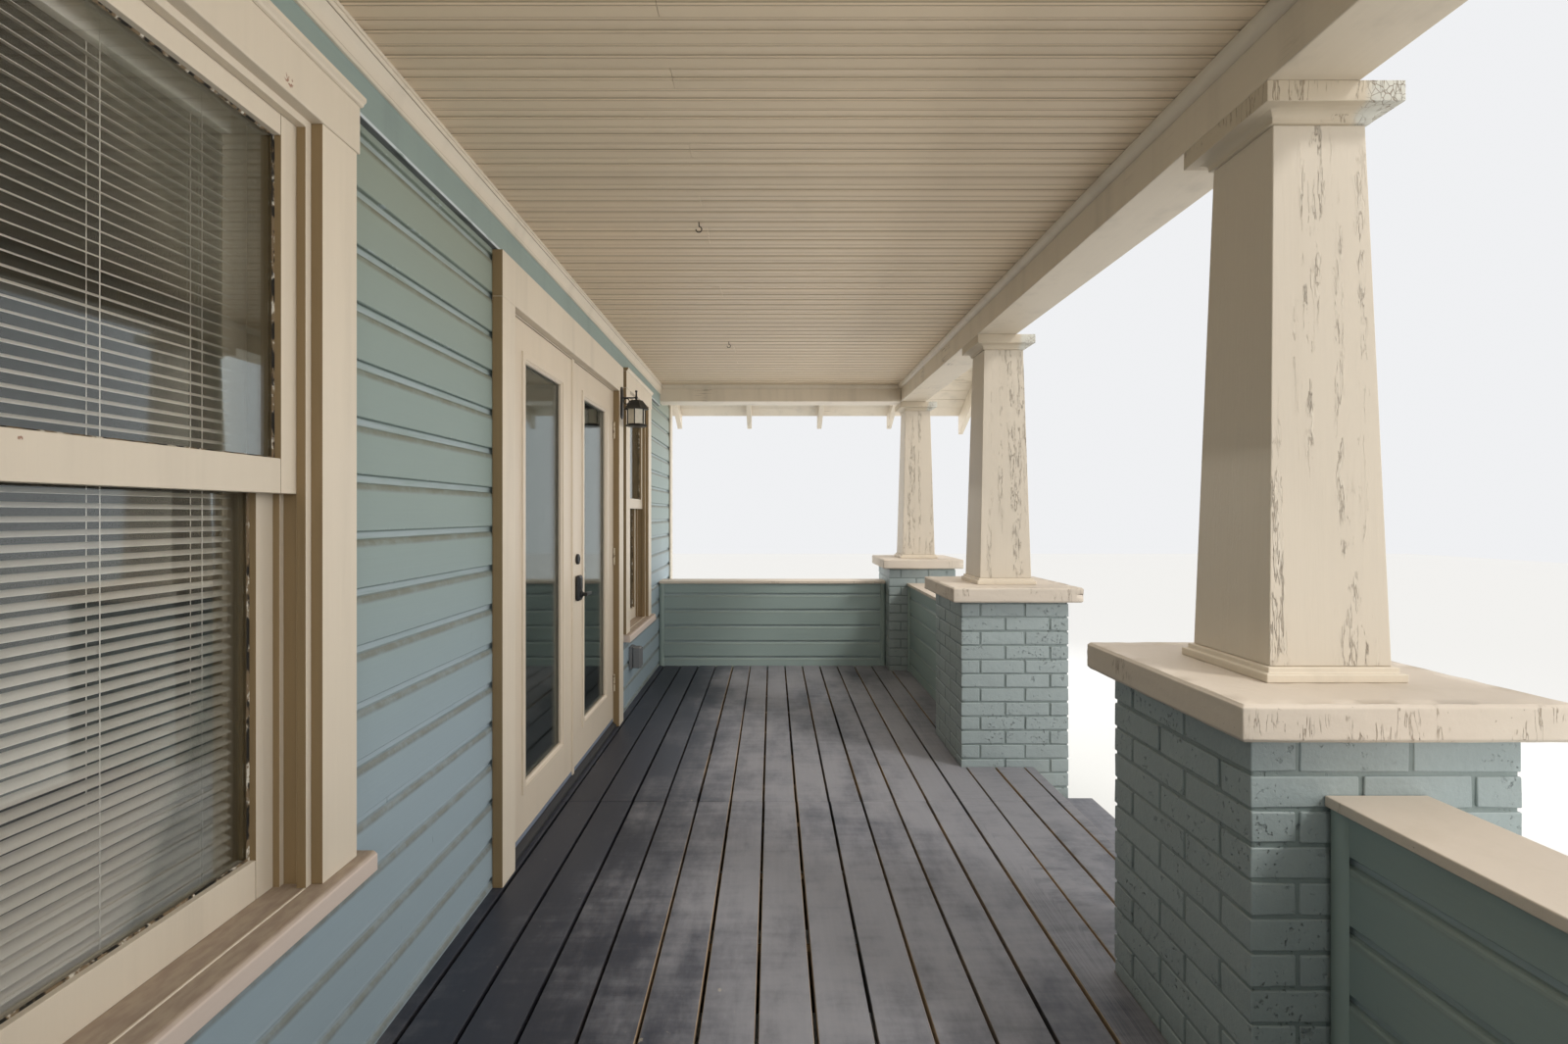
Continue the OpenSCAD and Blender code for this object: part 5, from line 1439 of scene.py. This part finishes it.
# Ceiling hooks
# Two old screw hooks of bent wire, that held a swing or plants, rusting under thin paint.
hook_low, hook_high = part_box("ceiling_hooks")
hook_y = (hook_low[1] + hook_high[1]) / 2
hook_wire = 0.0022
hook_r = 0.0105
hook_stem = 0.016
hook_half = 0.0155
hook_z = hook_high[2] - hook_stem - hook_r
hooks = []
for x in (hook_low[0] + hook_half, hook_high[0] - hook_half):
    line = bpy.data.curves.new("ceiling_hook", "CURVE")
    line.dimensions = "3D"
    line.bevel_depth = hook_wire
    line.bevel_resolution = 2
    line.use_fill_caps = True
    spots = [(x, hook_y, hook_high[2]), (x, hook_y - 0.001, hook_z + hook_r + 0.002)]
    for step in range(19):
        turn = math.radians(15 * step)
        spots.append((x, hook_y - hook_r * math.sin(turn), hook_z + hook_r * math.cos(turn)))
    spline = line.splines.new("POLY")
    spline.points.add(len(spots) - 1)
    for point, spot in zip(spline.points, spots):
        point.co = (*spot, 1)
    hook = bpy.data.objects.new("ceiling_hook", line)
    bpy.context.scene.collection.objects.link(hook)
    select_only(hook)
    bpy.ops.object.convert(target="MESH")
    hooks.append(smooth(bpy.context.object, 60))
hook_steel = Finish("rusting_hook_steel")
rust = hook_steel.spots(0.42, 0.62, 140, detail=5)
hook_steel.set(Base_Color=hook_steel.coats(srgb(92, 84, 72), (0.8 * rust, (74, 52, 36))),
               Roughness=0.42 + 0.35 * rust, Metallic=0.5 - 0.4 * rust).bump(rust, 0.0003)
deliver(join("ceiling_hook_wires", *hooks), hook_steel, "steel", "ceiling_hooks")

# Gable wall
# A stud wall over the front beam, sided on its street side and cut to the slope of the rafters.
gable_low, gable_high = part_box("gable_wall")
gable_line = gable_low[2] + 0.02
gable_core = reface(copy_of("gable_core", "gable_wall"), 1, (gable_low[1], gable_low[1] + skin))
places = siding_places((gable_low[0] - past, gable_low[1]), 0, gable_high[0] - gable_low[0] + 2 * past,
                       courses(gable_line, gable_low[2], gable_high[2]), joints=(2.1, 3.0, 3.9))
gable = repeat("gable_siding", [siding_model()], places)
cut_to_node(gable, "gable_wall", 1, (gable_low[1], gable_low[1] - clear))
gable_paint = siding_paint("gable_siding_paint", "X", gable_line)
deliver(join("gable_siding", gable_core, gable), gable_paint, "sage_paint", "gable_wall")

# Rafters, ridge and barge boards
# Sawn rafters in pairs are notched over the end beams and meet at the ridge board. Flat barge
# boards close the roof towards the street. All that shows is painted cream.
slope_paint = paint_finish("rafter_paint", cream, "X", cracks=0.3, dirt=0.2, grain=0.001)
soft_copy("rafter_boards", slope_paint, "cream_paint", "rafters", width=0.0025)
soft_copy("ridge_beam", beam_y_paint, "cream_paint", "ridge_board", width=0.0025)
soft_copy("barge_board_pair", slope_paint, "cream_paint", "barge_boards", width=0.003, segments=3)

# Roof boards
# Planed boards lie side by side across the rafters, painted cream underneath at the eaves.
pitch = 0.5
slope = math.atan(pitch)
slope_long = math.hypot(1, pitch)
ridge_z = 4.945
roof_low, roof_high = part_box("roof_boards")
roof_board_t = 0.022 / slope_long
roof_board_count = 33
roof_board_gap = 0.002
slope_start = 0.010 * slope_long
slope_end = (roof_high[0] - 0.009) * slope_long


def slope_place(side, inner, u, y, n):
    """A matrix for things on one slope: u runs down the slope, y along the ridge and n out of it."""
    base = Matrix.Diagonal((side, 1, 1, 1)) @ Matrix.Translation((0, 0, ridge_z))
    return base @ Matrix.Rotation(slope, 4, "Y") @ Matrix.Translation((u, y, n)) @ inner


roof_pitch = (slope_end - slope_start) / roof_board_count
middle_y = (roof_high[1] + roof_low[1]) / 2
size = Matrix.Diagonal((roof_pitch - roof_board_gap, roof_high[1] - roof_low[1], roof_board_t, 1))
places = []
for side in (-1, 1):
    for row in range(roof_board_count):
        middle = (slope_start + (row + 0.5) * roof_pitch, middle_y, roof_board_t / 2)
        places.append((slope_place(side, size, *middle), draw.uniform(-1, 1)))
sheathing = soften(repeat("roof_sheathing", [unit_block()], places), 0.0015, 1)
soffit_paint = paint_finish("soffit_paint", cream, "Y", cracks=0.2, dirt=0.16, tones=0.07)
deliver(sheathing, soffit_paint, "cream_paint", "roof_boards")

# Roof shingles
# Three-tab asphalt shingles, 143 mm to the weather, over a thin underlay. A row of folded tabs
# covers the ridge.
shingle_low, shingle_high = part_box("roof_shingles")
shingle_long = shingle_high[1] - shingle_low[1]
middle_y = (shingle_high[1] + shingle_low[1]) / 2
shingle_n = 0.012 / slope_long
tab_show = 0.1425
tab_lap = 0.025
tab_w = 0.3045
tab_gap = 0.006
tab_t = 0.0048
least_tab = 0.03
tab_fall = 0.92
underlay_t = 0.004
shingle_end = (shingle_high[0] - 0.014) * slope_long
tab = unit_block()
tab.data.transform(Matrix.Diagonal((tab_show + tab_lap, tab_w - tab_gap, tab_t, 1)))
modify(tab, "BEVEL", width=0.0012, segments=1, limit_method="NONE")
tilt = Matrix.Rotation(-math.asin(tab_t / tab_show) * tab_fall, 4, "Y")
rows = math.ceil((shingle_end - slope_start) / tab_show)
places = []
for side in (-1, 1):
    for row in range(rows):
        butt = shingle_end - row * tab_show
        reach = min(tab_show + tab_lap, butt - slope_start)
        start = shingle_low[1] - (tab_w / 2 if row % 2 else 0)
        for number in range(math.ceil((shingle_high[1] - start) / tab_w)):
            near = max(start + number * tab_w, shingle_low[1])
            far = min(start + (number + 1) * tab_w, shingle_high[1])
            if min(far - near, reach) < least_tab:
                continue
            size = Matrix.Diagonal((reach / (tab_show + tab_lap), (far - near) / tab_w, 1, 1))
            spot = (butt - reach / 2 - 0.0005, (near + far) / 2, roof_board_t + shingle_n - tab_t * 0.9)
            places.append((slope_place(side, tilt @ size, *spot), draw.uniform(-1, 1)))
shingles = repeat("shingle_tabs", [tab], places)
size = Matrix.Diagonal((shingle_end - slope_start - 0.002, shingle_long - 0.002, underlay_t, 1))
middle = ((shingle_end + slope_start) / 2, middle_y, roof_board_t + 0.0022)
underlay = [(slope_place(side, size, *middle), 0.0) for side in (-1, 1)]
shingles = join("shingle_tabs", shingles, repeat("underlay", [unit_block()], underlay))


def shingle_finish(name):
    f = Finish(name)
    grit = f.noise(420, detail=2)
    blend = f.spots(0.4, 0.62, 9, seed=9 * f.tone())
    cloud = f.noise(0.9)
    colour = f.coats(srgb(92, 92, 94), (blend, (122, 118, 112)))
    colour = f.shade(colour, 0.80 + 0.14 * f.tone() + 0.28 * grit + 0.14 * (cloud - 0.5))
    return f.set(Base_Color=colour, Roughness=0.93).bump(grit, 0.0012)


asphalt = shingle_finish("asphalt_shingles")
deliver(shingles, asphalt, "shingle", "roof_shingles")
cap_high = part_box("ridge_cap")[1]
fold_l = 0.170
fold_t = 0.005
fold_fall = 1.2
fold_low = -cap_high[0] * pitch
fold = [(-cap_high[0], fold_low), (-0.012, -0.0062), (0, -0.0030), (0.012, -0.0062), (cap_high[0], fold_low)]
fold_model = moulding("ridge_fold", fold + [(x, z - fold_t) for x, z in reversed(fold)], "Y", 0, fold_l)
drop = Matrix.Rotation(math.radians(fold_fall), 4, "X")
places = []
y = shingle_high[1]
while y > shingle_low[1] + 0.02:
    length = min(fold_l, y - shingle_low[1])
    spot = Matrix.Translation((0, y - length, cap_high[2] - 0.0036))
    places.append((spot @ drop @ Matrix.Diagonal((1, length / fold_l, 1, 1)), draw.uniform(-1, 1)))
    y -= tab_show
ridge_tabs = repeat("ridge_cap_tabs", [fold_model], places)
deliver(ridge_tabs, asphalt, "shingle", "ridge_cap")
